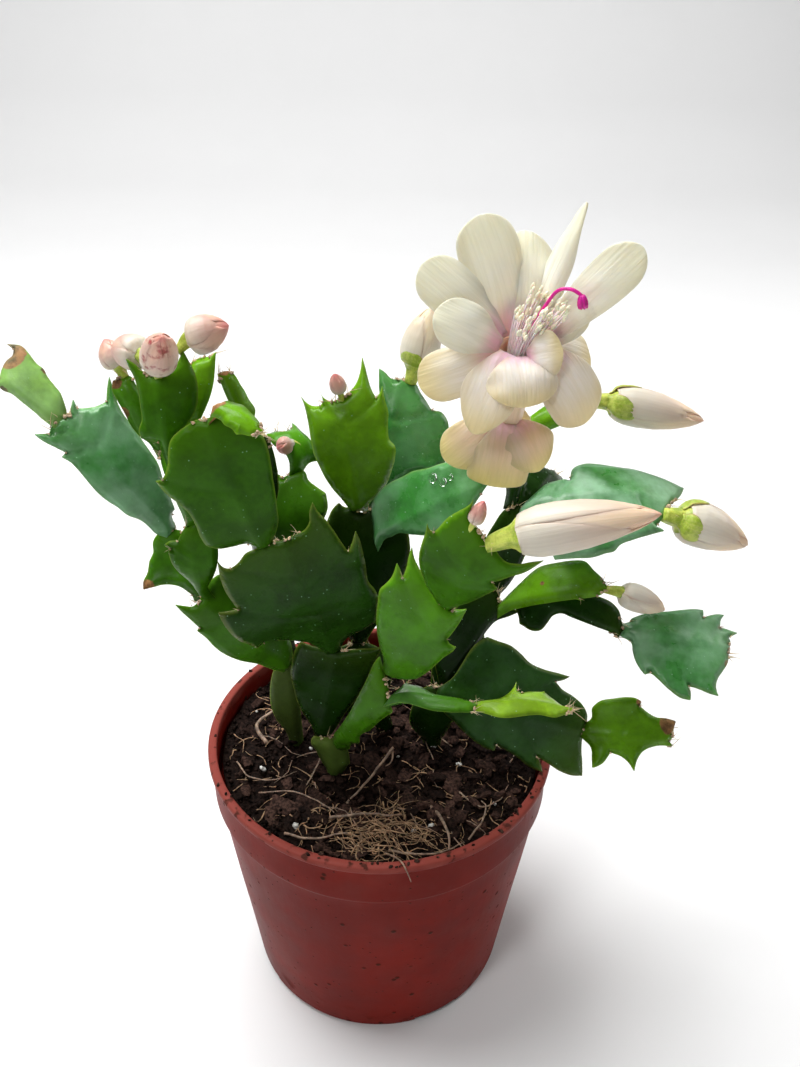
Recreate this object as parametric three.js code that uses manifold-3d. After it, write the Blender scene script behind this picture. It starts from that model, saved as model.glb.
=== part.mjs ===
// Potted christmas cactus: a small nursery pot of peaty soil, with flat jointed segments that grow
// from it in arching chains, buds at their ends and one open flower.
//
// Millimetres, +Z up. The origin is the middle of the pot's flat underside, and -Y is the front.
import * as THREE from 'three';
import { mergeVertices } from 'three/addons/utils/BufferGeometryUtils.js';
import Module from 'manifold-3d';

const wasm = await Module();
wasm.setup();

// Pot
const POT_HEIGHT = 76;
const RIM_RADIUS = 45;
const FOOT_RADIUS = 35.5;
const POT_WALL = 1.4;
const POT_FLOOR = 1.8;
const BAND_HEIGHT = 14;
const BAND_STEP = 1.1;
const BEAD_HEIGHT = 2.4;
const BEAD_OUT = 0.9;
const FOOT_SKIRT = 3;
const FOOT_CHAMFER = 1.2;
const POT_SIDES = 48;
const DRAIN_HOLES = 6;
const DRAIN_HOLE_RADIUS = 4;
const DRAIN_RING_RADIUS = 22;
const FOOT_NOTCHES = 4;
const FOOT_NOTCH_WIDTH = 13;
const FOOT_NOTCH_HEIGHT = 2.2;
const FOOT_NOTCH_TURN = -62;

// Soil
const SOIL_TOP = 70.5;
const SOIL_RISE = 1.6;
const SOIL_RINGS = 5;
const GAP = 0.35;

// Segments: every flat joint of the plant
const MIDRIB_THICKNESS = 2.3;
const MARGIN_THICKNESS = 0.9;
const JOINT_WIDTH = 3.2;
const MIDRIB_STATIONS = [0, 0.2, 0.4, 0.6, 0.8, 1];

// Buds
const BUD_SIDES = 10;

// Flower
const FLOWER_SEAT = 'segment_flowering';
const FLOWER_THROAT = new THREE.Vector3(26.5, -16, 189.5);
const NECK_RADIUS = 2.2;
const TUBE_WALL = 0.8;
const THROAT_RADIUS = 4.4;
const COLLAR_WALL = 1.1;
const COLLAR_HEIGHT = 2;
const TEPAL_THICKNESS = 0.8;
const TEPAL_FOOT = 0.3;
const TEPAL_COLUMNS = 4;
const TEPAL_ROWS = 6;
const OVARY_SWELL = 1.2;
const TUBE_HOLLOW_FROM = 9;
const FLOWER_SIDES = 16;
const BRUSH_SWING = 0.014;
const BRUSH_SWINGS_FROM = 26;
const STYLE_RADIUS = 0.55;
const STIGMA_RADIUS = 1.3;

const SEGMENT_GREEN = 0x3d7a26;
const BUD_PINK = 0xe8b9a2;
const TEPAL_CREAM = 0xf3ead2;

const material = (color, roughness) => new THREE.MeshStandardMaterial({ color, roughness, metalness: 0 });
const vector = (list) => new THREE.Vector3(...list);

// The geometry with its shared corners merged, which closes it.
function closed(geometry) {
  geometry.deleteAttribute('normal');
  geometry.deleteAttribute('uv');
  return mergeVertices(geometry, 1e-4);
}

function toSolid(geometry) {
  const merged = closed(geometry);
  return new wasm.Manifold(new wasm.Mesh({
    numProp: 3,
    vertProperties: new Float32Array(merged.attributes.position.array),
    triVerts: new Uint32Array(merged.index.array),
  }));
}

function fromSolid(solid) {
  const mesh = solid.getMesh();
  const geometry = new THREE.BufferGeometry();
  geometry.setAttribute('position', new THREE.BufferAttribute(mesh.vertProperties, 3));
  geometry.setIndex(new THREE.BufferAttribute(mesh.triVerts, 1));
  return geometry;
}

// A lathe turned about Z, from [radius, height] pairs.
function turned(profile, sides) {
  const points = profile.map(([radius, height]) => new THREE.Vector2(radius, height));
  return new THREE.LatheGeometry(points, sides).rotateX(Math.PI / 2);
}

function named(name, geometry, look) {
  const mesh = new THREE.Mesh(geometry, look);
  mesh.name = name;
  return mesh;
}

// --- Pot and soil ---------------------------------------------------------------------------------

// The pot's outer radius on the plain wall below the band.
function wallRadius(height) {
  const share = height / (POT_HEIGHT - BAND_HEIGHT);
  return FOOT_RADIUS + share * (RIM_RADIUS - BEAD_OUT - BAND_STEP - FOOT_RADIUS);
}

function pot() {
  const band = POT_HEIGHT - BAND_HEIGHT;
  const bead = POT_HEIGHT - BEAD_HEIGHT;
  const outside = [
    [0, 0],
    [FOOT_RADIUS - FOOT_CHAMFER, 0],
    [FOOT_RADIUS, FOOT_CHAMFER],
    [wallRadius(band), band],
    [wallRadius(band) + BAND_STEP, band + BAND_STEP],
    [RIM_RADIUS - BEAD_OUT, bead],
    [RIM_RADIUS, bead + BEAD_OUT / 2],
    [RIM_RADIUS, POT_HEIGHT - BEAD_OUT / 2],
    [RIM_RADIUS - BEAD_OUT / 2, POT_HEIGHT],
  ];
  const inside = [
    [RIM_RADIUS - BEAD_OUT - POT_WALL, POT_HEIGHT],
    [wallRadius(band) + BAND_STEP - POT_WALL, band + BAND_STEP],
    [wallRadius(band) - POT_WALL, band],
    [wallRadius(POT_FLOOR) - POT_WALL, POT_FLOOR],
    [0, POT_FLOOR],
  ];
  let solid = toSolid(turned([...outside, ...inside], POT_SIDES));
  for (let i = 0; i < DRAIN_HOLES; i += 1) {
    const turn = (i + 0.5) * 2 * Math.PI / DRAIN_HOLES;
    const hole = new THREE.CylinderGeometry(DRAIN_HOLE_RADIUS, DRAIN_HOLE_RADIUS, 4 * POT_FLOOR, 16);
    hole.rotateX(Math.PI / 2);
    hole.translate(DRAIN_RING_RADIUS * Math.cos(turn), DRAIN_RING_RADIUS * Math.sin(turn), 0);
    solid = solid.subtract(toSolid(hole));
  }
  for (let i = 0; i < FOOT_NOTCHES; i += 1) {
    const turn = THREE.MathUtils.degToRad(FOOT_NOTCH_TURN) + i * 2 * Math.PI / FOOT_NOTCHES;
    const notch = new THREE.BoxGeometry(2 * FOOT_SKIRT, FOOT_NOTCH_WIDTH, 2 * FOOT_NOTCH_HEIGHT);
    notch.translate(FOOT_RADIUS, 0, 0);
    notch.rotateZ(turn);
    solid = solid.subtract(toSolid(notch));
  }
  return named('pot', fromSolid(solid), material(0x8f2f22, 0.45));
}

// The soil's height: a low mound that dips towards the wall, with a few lumps.
function soilHeight(x, y) {
  const reach = Math.hypot(x, y) / RIM_RADIUS;
  const lumps = Math.sin(x / 5.1 + 1.3) * Math.cos(y / 6.3) + 0.5 * Math.sin((x + y) / 3.4);
  return SOIL_TOP + SOIL_RISE * (1 - reach * reach) + 0.5 * lumps;
}

function soil() {
  const clear = POT_WALL + GAP;
  const floor = POT_FLOOR + GAP;
  const topRadius = wallRadius(SOIL_TOP - BAND_HEIGHT) - clear;
  const profile = [[0, floor], [wallRadius(floor) - clear, floor], [topRadius, SOIL_TOP - 12]];
  for (let i = 0; i < SOIL_RINGS; i += 1) {
    profile.push([topRadius * (1 - i / SOIL_RINGS), SOIL_TOP]);
  }
  profile.push([0, SOIL_TOP]);
  const geometry = turned(profile, POT_SIDES / 2);
  const place = geometry.attributes.position;
  for (let i = 0; i < place.count; i += 1) {
    if (place.getZ(i) > SOIL_TOP - 1) {
      place.setZ(i, soilHeight(place.getX(i), place.getY(i)));
    }
  }
  return named('soil', closed(geometry), material(0x3a271b, 0.95));
}

// --- Blades: the shared shape of segments and tepals ------------------------------------------------

// A blade's own directions: along its length, across it, and out of its face.
function bladeFrame(base, tip, face) {
  const along = tip.clone().sub(base);
  const length = along.length();
  along.divideScalar(length);
  const out = face.clone().addScaledVector(along, -face.dot(along)).normalize();
  const across = along.clone().cross(out);
  return { base, length, along, out, across };
}

// A point on a blade. share runs 0 to 1 along it, side is in millimetres across, lift is off its middle
// surface. The spine bows by bow, the margins rise by cup, and the blade turns by twist degrees.
function bladePoint(frame, blade, share, side, lift) {
  const { base, length, along, out, across } = frame;
  const turn = THREE.MathUtils.degToRad(blade.twist ?? 0) * (share - 0.5);
  const sideways = across.clone().applyAxisAngle(along, turn);
  const slope = blade.bow * 4 * (1 - 2 * share) / length;
  const forward = along.clone().addScaledVector(out, slope).normalize();
  const up = sideways.clone().cross(forward).normalize();
  const edge = side / (blade.wide / 2);
  return base.clone()
    .addScaledVector(along, share * length)
    .addScaledVector(out, blade.bow * 4 * share * (1 - share))
    .addScaledVector(sideways, side)
    .addScaledVector(up, blade.cup * edge * edge + lift);
}

// A closed blade from its two margins. Each margin is a list of { along, out, root }: the margin's own
// place, and the place on the midrib that its rung starts from.
function bladeGeometry(frame, blade, left, right, columns, midThickness, edgeThickness) {
  const rungs = left.length - 1;
  const geometry = new THREE.BoxGeometry(2, rungs, 1, columns, rungs, 1);
  const place = geometry.attributes.position;
  for (let i = 0; i < place.count; i += 1) {
    const t = place.getX(i);
    const rung = Math.round(place.getY(i) + rungs / 2);
    const margin = (t < 0 ? left : right)[rung];
    const root = (left[rung].root + right[rung].root) / 2;
    const share = root + (margin.along - root) * Math.abs(t) ** 3;
    const side = t * margin.out * blade.wide / 2;
    const thickness = midThickness + (edgeThickness - midThickness) * t * t;
    const lift = Math.sign(place.getZ(i)) * thickness / 2;
    const point = bladePoint(frame, blade, share, side, lift);
    place.setXYZ(i, point.x, point.y, point.z);
  }
  return geometry;
}

// --- Segments ---------------------------------------------------------------------------------------

const SEGMENT_DEFAULTS = { side: 0, face: [0, -0.85, 0.53], bow: 2, cup: 0, thick: 1 };

// Every segment, as it grows: its seat on which other segment's apex (or in the soil, at root), where its
// own apex reaches and which way its face looks. left and right are its
// margins from the joint to the apex, as pairs of share of its length and distance from its midrib.
const SEGMENTS = [
  // Old foot of the plant and the big front chain that leans left
  { name: 'stem_foot', root: [-11.3, -11.5], tip: [-12.9, -10, 82.9], bow: 0, thick: 2,
    left: [0.3, 2.8, 0.69, 3.9, 1.02, 4.3, 1.1, 3.6],
    right: [0.17, 4.2, 0.35, 4.3, 0.72, 3.9, 0.92, 2.9] },
  { name: 'segment_front_lower', on: 'stem_foot', side: -1.9, lift: -1.2, tip: [-10, -9, 110], bow: -1.5,
    left: [0.05, 2.5, 0.16, 5.6, 0.27, 7.7, 0.4, 9, 0.54, 10.1, 0.7, 10.4, 0.86, 10.2, 0.97, 9.2],
    right: [0.05, 2.9, 0.25, 5, 0.43, 6.7, 0.67, 8.3, 0.91, 9.2, 1.11, 9.8, 1.21, 9.9] },
  { name: 'segment_front_broad', on: 'segment_front_lower', side: -1, at: 0.982, tip: [-20.1, -20, 148.1],
    left: [0.05, 2.9, 0.17, 6.5, 0.25, 10.5, 0.29, 13.9, 0.26, 16, 0.31, 16.8, 0.39, 18.3, 0.49, 19.3,
      0.59, 19.7, 0.66, 19.6, 0.63, 15.4, 0.7, 15.8, 0.79, 16, 0.91, 15.4, 1.01, 14.4, 0.96, 13.9,
      0.93, 12.7, 0.95, 10.6, 0.99, 8.5, 1, 6.1, 1.01, 4.5],
    right: [0.06, 3.7, 0.09, 8.4, 0.11, 10.4, 0.12, 11.7, 0.23, 12.9, 0.35, 14.2, 0.44, 14.1,
      0.5, 13.5, 0.64, 14.2, 0.76, 14.7, 0.85, 15, 0.91, 14.8, 0.85, 13.4, 0.79, 11.8, 0.84, 11.3,
      0.92, 10.7, 1.02, 9.8, 1.09, 8.8, 1.15, 8.5, 1.1, 7.1, 1.04, 6.3, 1.01, 5, 1, 2.6] },
  { name: 'segment_left_oval', on: 'segment_front_broad', side: -4.4, tip: [-32.7, -26, 178.3],
    left: [0.05, 2.7, 0.07, 6, 0.09, 8.6, 0.14, 10.2, 0.24, 10.6, 0.35, 10.3, 0.42, 10.4, 0.54, 11.6,
      0.63, 12.9, 0.68, 13.2, 0.74, 13.5, 0.73, 12.1, 0.8, 10.2, 0.89, 8.8, 0.95, 7.5, 0.98, 5.6,
      1, 3.3, 1.01, 1.8],
    right: [0.06, 3.4, 0.14, 5, 0.26, 6, 0.38, 6.9, 0.5, 7.7, 0.6, 8.4, 0.69, 8.9, 0.78, 9, 0.85, 8.3,
      0.92, 6.7, 0.96, 4.5, 1, 2.1] },
  { name: 'segment_left_crown', on: 'segment_left_oval', side: 1.2, tip: [-21, -31, 178.2],
    face: [0.25, -0.45, 0.8], bow: 1,
    left: [0.05, 3, 0.23, 3.5, 0.42, 3.2, 0.63, 2.3, 0.82, 1.7],
    right: [0.16, 1.7, 0.2, 1.7, 0.33, 2.1, 0.47, 3, 0.54, 2.8, 0.67, 3.3, 0.76, 2.6, 0.88, 2.2,
      0.95, 1.1] },
  // Rear left stem and the chain that reaches far left
  { name: 'stem_rear_left', root: [-22, 0], tip: [-22.9, -3, 102.5],
    left: [0.57, 5.5, 0.84, 4.3, 0.98, 2.8],
    right: [0.57, 2.1, 0.84, 2.4, 0.97, 2.2] },
  { name: 'segment_left_low', on: 'stem_rear_left', lift: 1.5, at: 0.955, tip: [-40.9, -13, 126.9],
    left: [0.07, 3.1, 0.23, 4.1, 0.39, 5.8, 0.51, 6.4, 0.65, 6.4, 0.76, 5.9, 0.85, 5.9, 0.85, 5,
      0.95, 4.7, 1.04, 4.5, 1.11, 4.2, 1.05, 3, 1.01, 2.1],
    right: [0.05, 3.3, 0.38, 7.1, 0.72, 9.4, 0.92, 9.2, 1.03, 7.3, 1.04, 4.6, 1.02, 2] },
  { name: 'segment_left_small', on: 'segment_left_low', side: 1.9, lift: 0.8, at: 0.986, tip: [-39.1,
    -17, 150.7], bow: 3,
    left: [0.16, 1.7, 0.29, 2.5, 0.43, 4, 0.56, 5.2, 0.66, 5.7, 0.69, 5.2, 0.73, 6.5, 0.78, 5.1,
      0.78, 3.6, 0.88, 2.5, 0.95, 1.5],
    right: [0.14, 1.7, 0.35, 3.4, 0.52, 4.6, 0.69, 5, 0.84, 4.6, 0.94, 3.4, 1, 1.5] },
  { name: 'segment_left_curled', on: 'segment_left_low', side: 0.1, lift: -1, tip: [-47.4, -6, 141.3],
    bow: -2,
    left: [0.04, 1.1, 0.17, 3.1, 0.25, 5.9, 0.27, 8.6, 0.28, 10.8, 0.39, 10.4, 0.5, 8.8, 0.64, 7.5,
      0.76, 5.7, 0.89, 4.9, 0.98, 3.2, 1.02, 1.5],
    right: [0.07, 2.4, 0.4, 4.6, 0.69, 4.1, 0.88, 2.5, 0.95, 1.5] },
  { name: 'segment_left_broad', on: 'segment_left_curled', side: 0.1, at: 0.987, tip: [-67.5, -8,
    169.1], face: [-0.25, -0.5, 0.83],
    left: [0.05, 3.1, 0.08, 3.2, 0.17, 3.6, 0.25, 4.6, 0.35, 4.9, 0.43, 5.4, 0.51, 5.5, 0.6, 5.2,
      0.69, 4.8, 0.76, 4.7, 0.82, 5.2, 0.82, 3.9, 0.88, 4.5, 0.96, 5.3, 1, 5.5, 1.03, 5.5, 1, 4.4,
      0.97, 3.4, 0.99, 2],
    right: [0.05, 2.6, 0.06, 3.8, 0.13, 4.8, 0.25, 6.3, 0.35, 7.9, 0.47, 8.7, 0.57, 9.3, 0.65, 9.8,
      0.74, 10.3, 0.81, 11.1, 0.89, 12.6, 0.97, 14, 0.92, 11.6, 0.87, 9.7, 0.89, 7.7, 0.92, 6.1,
      0.96, 4.5, 1.02, 5.3, 1, 4.1, 0.97, 2.7, 0.98, 1.4] },
  { name: 'segment_left_tip', on: 'segment_left_broad', side: -0.2, at: 0.972, tip: [-79.2, -4, 177.2],
    face: [-0.2, -0.55, 0.8], bow: 0.5,
    left: [0.1, 1.8, 0.24, 1.7, 0.39, 1.7, 0.53, 1.7, 0.68, 1.7, 0.82, 2.3, 0.93, 2],
    right: [0.05, 3.3, 0.13, 4.5, 0.3, 5.2, 0.46, 5.7, 0.6, 6.5, 0.68, 6.4, 0.87, 7, 1.08, 7.3,
      1.26, 5.8, 1.12, 5.8, 1.06, 4.5, 1.07, 2.9, 1.04, 1.2] },
  { name: 'segment_left_bearer', on: 'segment_left_small', at: 0.96, tip: [-45.1, -10, 163.1],
    left: [0.11, 1.7, 0.35, 1.7, 0.59, 1.7, 0.82, 1.7, 1.02, 1.3],
    right: [0.04, 2, 0.26, 4.8, 0.55, 5.4, 0.8, 4.6, 1, 2.7] },
  { name: 'segment_left_bud_front', on: 'segment_left_bearer', side: 1.1, lift: 1.3, at: 0.574,
    tip: [-43.5, -15, 182.5],
    left: [0.33, 2.1, 0.35, 3.7, 0.39, 5.3, 0.47, 5.4, 0.58, 4.4, 0.73, 4.3, 0.85, 4.3, 0.98, 4.7,
      1.08, 5.5, 1.15, 5.9, 1.1, 4.3, 1.02, 2.5],
    right: [0.37, 1.7, 0.45, 3.1, 0.54, 5, 0.65, 6.5, 0.77, 7.3, 0.89, 7.6, 1.01, 7.2, 1.09, 6.4,
      1.19, 5.3, 1.12, 4.5, 1.04, 3.2, 1, 1.7] },
  { name: 'segment_left_bud_rear', on: 'segment_left_bearer', side: -0.8, lift: -1.6, at: 1.042,
    tip: [-53, -6, 178.3],
    left: [0.14, 1.7, 0.27, 2.6, 0.44, 3.2, 0.6, 3.2, 0.77, 3.3, 0.91, 3.2, 0.99, 2.4, 0.99, 1.2],
    right: [0.17, 1.7, 0.4, 1.7, 0.61, 1.7, 0.8, 1.7, 0.94, 1.5] },
  { name: 'segment_left_bud_side', on: 'segment_left_bearer', side: 2.1, lift: -1.6, tip: [-37.1, -4,
    181.5],
    left: [0.14, 1.7, 0.38, 1.7, 0.61, 1.8, 0.81, 1.8, 0.93, 1.4],
    right: [0.07, 1.7, 0.26, 3.3, 0.44, 4.2, 0.6, 4.6, 0.78, 4.3, 0.96, 3.4, 1.11, 2.4, 1.05, 1.6] },
  // Rear left, behind the tall segments
  { name: 'segment_rear_left_lower', on: 'stem_rear_left', side: 0.8, lift: -1.5, at: 0.982,
    tip: [-28.9, 6, 129.8],
    left: [0.15, 1.7, 0.44, 2, 0.72, 2.9, 0.9, 3.2, 0.99, 1.8],
    right: [0.22, 1.8, 0.49, 3.4, 0.72, 3.5, 0.89, 2.7, 0.97, 1.8] },
  { name: 'segment_rear_left', on: 'segment_rear_left_lower', side: 1.1, lift: -1.2, at: 0.979,
    tip: [-23.5, 12, 145],
    left: [0.13, 2.7, 0.4, 4.3, 0.66, 5.2, 0.91, 5, 1.05, 3.8, 1.03, 2.2],
    right: [0.06, 4.4, 0.19, 8.4, 0.5, 11.4, 0.77, 12.1, 0.97, 10.6, 1.02, 7.8, 1.07, 5.6, 1.16, 4.3,
      1.16, 2.5, 1.09, 1.2] },
  { name: 'segment_rear_left_riser', on: 'segment_rear_left_lower', side: -0.9, lift: 1, at: 0.958,
    tip: [-24.4, -12, 168.6],
    left: [0.27, 2.5, 0.51, 3.9, 0.71, 4.1, 0.88, 2.6, 0.97, 1.4],
    right: [0.33, 2.6, 0.59, 4.6, 0.78, 3.9, 0.91, 2.6, 0.98, 1.3] },
  { name: 'segment_left_narrow', on: 'segment_rear_left_riser', side: -1.7, at: 0.943, tip: [-31.1,
    -12, 182.1], face: [0.5, -0.8, 0.2], bow: 0,
    left: [0.34, 1.7, 0.55, 1.7, 0.71, 1.7, 0.85, 1.7, 1.02, 1.5],
    right: [0.2, 1.8, 0.31, 2.7, 0.46, 2.5, 0.61, 2.3, 0.73, 1.9, 0.86, 1.7, 0.95, 1.3] },
  { name: 'segment_rear_left_tip', on: 'segment_rear_left', side: 2.4, at: 1.097, tip: [-24, 20,
    153.2], face: [0.3, -0.6, 0.7],
    left: [0.11, 1.7, 0.39, 2.4, 0.67, 4.4, 1.08, 4.2, 1.08, 1.7],
    right: [0.05, 2.7, 0.07, 6, 0.2, 6.4, 0.45, 5, 0.81, 4, 1.32, 3.8, 1.03, 1.7] },
  // Middle stem with the tall, pale and flowering segments
  { name: 'stem_middle', root: [2, 5], tip: [-5.7, 0, 106.1],
    left: [0.53, 11.8, 0.78, 10.7, 0.97, 6.2],
    right: [0.35, 1.7, 0.6, 5.4, 0.86, 4.9] },
  { name: 'segment_middle_dark', on: 'stem_middle', at: 0.985, tip: [-5.1, 4, 140.7],
    left: [0.07, 3.2, 0.29, 8, 0.53, 11.1, 0.76, 11.1, 0.9, 8.1, 1.02, 6.3, 1.06, 5, 1.03, 3.6,
      1.03, 2.1],
    right: [0.08, 3.5, 0.31, 8.2, 0.56, 11, 0.78, 12, 0.94, 10.3, 1.01, 7, 1.03, 3.5] },
  { name: 'segment_tall', on: 'segment_middle_dark', side: -0.5, lift: 0.2, at: 1.022, tip: [-9.1, 8,
    167.7],
    left: [0.11, 3.7, 0.21, 5.2, 0.32, 6.4, 0.44, 7.3, 0.55, 8, 0.67, 8.2, 0.79, 8.2, 0.92, 8.4,
      1, 8.7, 1.07, 9.2, 1.01, 8.2, 0.97, 6.9, 0.96, 5.1, 0.99, 4.5, 1.09, 4.8, 1.03, 4.2, 0.99, 3,
      0.99, 1.6],
    right: [0.06, 3.7, 0.09, 5.5, 0.19, 7.5, 0.32, 9, 0.43, 10, 0.55, 10.2, 0.59, 9.4, 0.71, 9.3,
      0.84, 9.8, 0.94, 9.4, 1.06, 9.2, 1.01, 8.6, 0.97, 7.5, 1.03, 6.8, 1.13, 6.3, 1.22, 6, 1.31, 5.6,
      1.2, 4.8, 1.14, 4.1, 1.07, 2.7, 1.03, 1.2] },
  { name: 'segment_pale', on: 'segment_middle_dark', side: 1.9, lift: -2, tip: [4.4, 20, 167.4],
    left: [0.1, 1.7, 0.32, 1.7, 0.55, 1.7, 0.74, 3.1, 0.87, 4.7, 1.03, 6.1, 1.01, 4.4, 0.98, 2.8],
    right: [0.07, 3.3, 0.18, 4.1, 0.27, 5.8, 0.33, 7.7, 0.37, 10.3, 0.41, 12.8, 0.46, 14.3, 0.54, 14.9,
      0.6, 13.7, 0.7, 13.5, 0.77, 12.7, 0.83, 10.5, 0.83, 8.4, 0.88, 6.6, 0.94, 4.6, 1, 2.9, 1.01, 1.3] },
  { name: 'segment_flowering', on: 'segment_middle_dark', side: 3.9, lift: 1.6, at: 0.802, tip: [23.4,
    -9, 156.7], face: [0, -0.76, 0.65],
    left: [0.09, 7.9, 0.18, 8.8, 0.29, 9.5, 0.39, 9.5, 0.5, 9.5, 0.58, 8.8, 0.63, 8.4, 0.72, 8,
      0.81, 7.4, 0.9, 6.4, 0.97, 4.8, 1.01, 2.4],
    right: [0.07, 1.1, 0.13, 1.7, 0.2, 1.7, 0.3, 3.3, 0.41, 4.9, 0.53, 6.1, 0.66, 6.1, 0.77, 4.7,
      0.86, 2.9, 0.94, 1.2] },
  // Front right chain
  { name: 'segment_front_right_lower', on: 'stem_foot', side: 2, lift: 1.4, at: 0.835, tip: [2.2, -20,
    108], bow: 3,
    left: [0.39, 2.3, 0.62, 3.1, 0.79, 4.1, 0.93, 5, 1.03, 5.8, 1.11, 6.3, 1.16, 6.2, 1.1, 3.9],
    right: [0.06, 3.4, 0.17, 3.2, 0.33, 3.9, 0.39, 3, 0.55, 3.6, 0.71, 3.8, 0.86, 4.6, 0.89, 3.3,
      0.94, 1.9] },
  { name: 'segment_front_upright', on: 'segment_front_right_lower', side: -2.2, at: 1.099, tip: [14.2,
    -27, 136.6],
    left: [0.05, 2.1, 0.22, 5.2, 0.38, 8, 0.52, 10.2, 0.65, 11.9, 0.78, 13.2, 0.86, 12.9, 0.94, 12.8,
      1, 13.2, 1.05, 13.7, 1.02, 12.2, 0.98, 10.8, 1.06, 11.5, 1.13, 12.4, 1.21, 13.2, 1.15, 11.3,
      1.11, 9.1, 1.07, 6.5, 1.03, 3.8, 1.02, 1.9],
    right: [0.06, 3.9, 0.14, 5.2, 0.29, 6, 0.45, 6.4, 0.63, 6.8, 0.7, 7.2, 0.77, 7.2, 0.76, 6.1,
      0.77, 4.6, 0.85, 4.6, 0.96, 4.4, 1.08, 3.8, 1.04, 2.6, 1.01, 1.4] },
  { name: 'segment_front_bud', on: 'segment_front_upright', side: -0.2, at: 1.008, tip: [20.5, -37, 159.8],
    left: [0.09, 4.5, 0.24, 6.9, 0.41, 8.9, 0.6, 10.1, 0.73, 10.5, 0.81, 10.7, 0.9, 11.2, 0.86, 10.2,
      0.85, 9.3, 0.92, 8.8, 1.02, 8.1, 1.09, 7.1, 1.16, 6, 1.2, 5.5, 1.25, 5.4, 1.18, 5, 1.11, 4.6,
      1.07, 3.3, 1.03, 1.6],
    right: [0.14, 3.1, 0.28, 4.4, 0.43, 5.4, 0.52, 6.1, 0.59, 6.8, 0.63, 5.2, 0.69, 6.5, 0.77, 8,
      0.83, 9.3, 0.92, 10.5, 1.04, 11.7, 0.98, 9.8, 0.91, 7.7, 0.88, 5.5, 0.9, 4.1, 0.95, 2.2] },
  { name: 'segment_strap_inner', on: 'segment_front_right_lower', side: 1.8, at: 0.898, tip: [22.5,
    -26, 108], face: [0, 0.1, 1], bow: 1,
    left: [0.09, 8.3, 0.1, 7.2, 0.28, 4.6, 0.45, 2.4, 0.63, 1.7, 0.79, 1.7, 0.93, 1.1],
    right: [0.11, 1.7, 0.28, 2.7, 0.47, 3.9, 0.66, 4, 0.83, 3.3, 0.95, 2.3] },
  { name: 'segment_strap_outer', on: 'segment_strap_inner', at: 0.986, tip: [44.2, -26, 107.3],
    face: [0, 0.1, 1], bow: 1,
    left: [0.12, 2.3, 0.22, 2.8, 0.3, 4.3, 0.37, 6.6, 0.42, 9.5, 0.42, 5.9, 0.46, 5.1, 0.57, 6.1,
      0.71, 6.1, 0.78, 4.1, 0.86, 2.2, 0.92, 1.1],
    right: [0.16, 4.2, 0.3, 4.4, 0.45, 4, 0.6, 3.7, 0.75, 4, 0.88, 2.2] },
  // Right stem
  { name: 'stem_right', root: [14, 0], tip: [14.3, -3, 94.6],
    left: [0.4, 6.3, 0.73, 6.1, 0.96, 3.2],
    right: [0.42, 4, 0.75, 5.1, 0.97, 3.3] },
  { name: 'segment_right_large', on: 'stem_right', side: -0.2, lift: 1.9, at: 0.956, tip: [51.4, -9,
    85.9], face: [0, -0.93, 0.38],
    left: [0.06, 4, 0.09, 7.7, 0.11, 11.1, 0.14, 14, 0.19, 16.3, 0.26, 16.2, 0.35, 16.1, 0.42, 15.1,
      0.5, 13.4, 0.6, 12.7, 0.69, 12.6, 0.79, 12.5, 0.76, 11.4, 0.71, 10.3, 0.76, 9, 0.85, 7.9,
      0.93, 6.3, 0.99, 3.7],
    right: [0.05, 2.9, 0.08, 5.3, 0.17, 7.2, 0.25, 8.9, 0.34, 10.5, 0.41, 11.2, 0.47, 11.3, 0.47, 9.5,
      0.53, 10.1, 0.62, 11.1, 0.71, 12.6, 0.82, 13.2, 0.79, 11.2, 0.75, 9.7, 0.83, 10.6, 0.92, 11.8,
      1.01, 12.4, 1.1, 12.1, 1.07, 8.9, 1.03, 5.3, 1.01, 2.7] },
  { name: 'segment_right_cupped', on: 'segment_right_large', side: 0.5, tip: [72.9, -12, 86.8], cup: 2.5,
    left: [0.06, 3.5, 0.08, 6.8, 0.14, 8.4, 0.3, 9.5, 0.43, 10, 0.54, 9.8, 0.6, 9.1, 0.59, 7.8,
      0.69, 6.1, 0.78, 5.1, 0.9, 4.8, 1.03, 4, 1.01, 2],
    right: [0.06, 3.4, 0.08, 6.4, 0.09, 8.4, 0.18, 7.2, 0.27, 4.4, 0.38, 4.9, 0.47, 6.2, 0.54, 8.3,
      0.57, 5.9, 0.64, 3.7, 0.8, 2.2, 1, 2.2, 0.96, 1.1] },
  { name: 'segment_right_rising', on: 'stem_right', side: 2, lift: -2.1, at: 0.948, tip: [28.6, 1,
    118.6], bow: 0,
    left: [0.09, 4.5, 0.33, 7.4, 0.56, 8, 0.77, 7.5, 0.93, 5.7, 1.06, 2.9, 1.05, 0.5],
    right: [0.13, 1.7, 0.35, 1.7, 0.51, 1.7, 0.67, 1.7, 0.8, 2.3, 0.89, 4, 1, 5.9, 0.99, 3.8] },
  { name: 'segment_right_folded', on: 'segment_right_rising', side: 1.1, lift: 1.6, at: 0.929,
    tip: [51.3, -12, 131.2], face: [-0.2, -0.6, 0.77],
    left: [0.14, 3.6, 0.28, 5.6, 0.41, 7.4, 0.57, 7.9, 0.71, 7.8, 0.83, 6.9, 0.89, 4.8, 0.96, 2.5],
    right: [0.2, 1.7, 0.33, 1.7, 0.46, 1.7, 0.58, 1.7, 0.64, 1.7, 0.69, 1.7, 0.73, 1.7, 0.79, 2.3,
      0.77, 1.7, 0.86, 1.7, 0.94, 1.3] },
  { name: 'segment_right_lobed', on: 'segment_right_rising', side: 3.1, lift: -1.1, at: 1.093,
    tip: [58.1, -6, 115.2],
    left: [0.09, 1.6, 0.2, 3.7, 0.32, 5.1, 0.44, 5.1, 0.57, 5.1, 0.68, 5.3, 0.81, 5, 0.9, 3.7, 0.95, 1.8],
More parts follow.
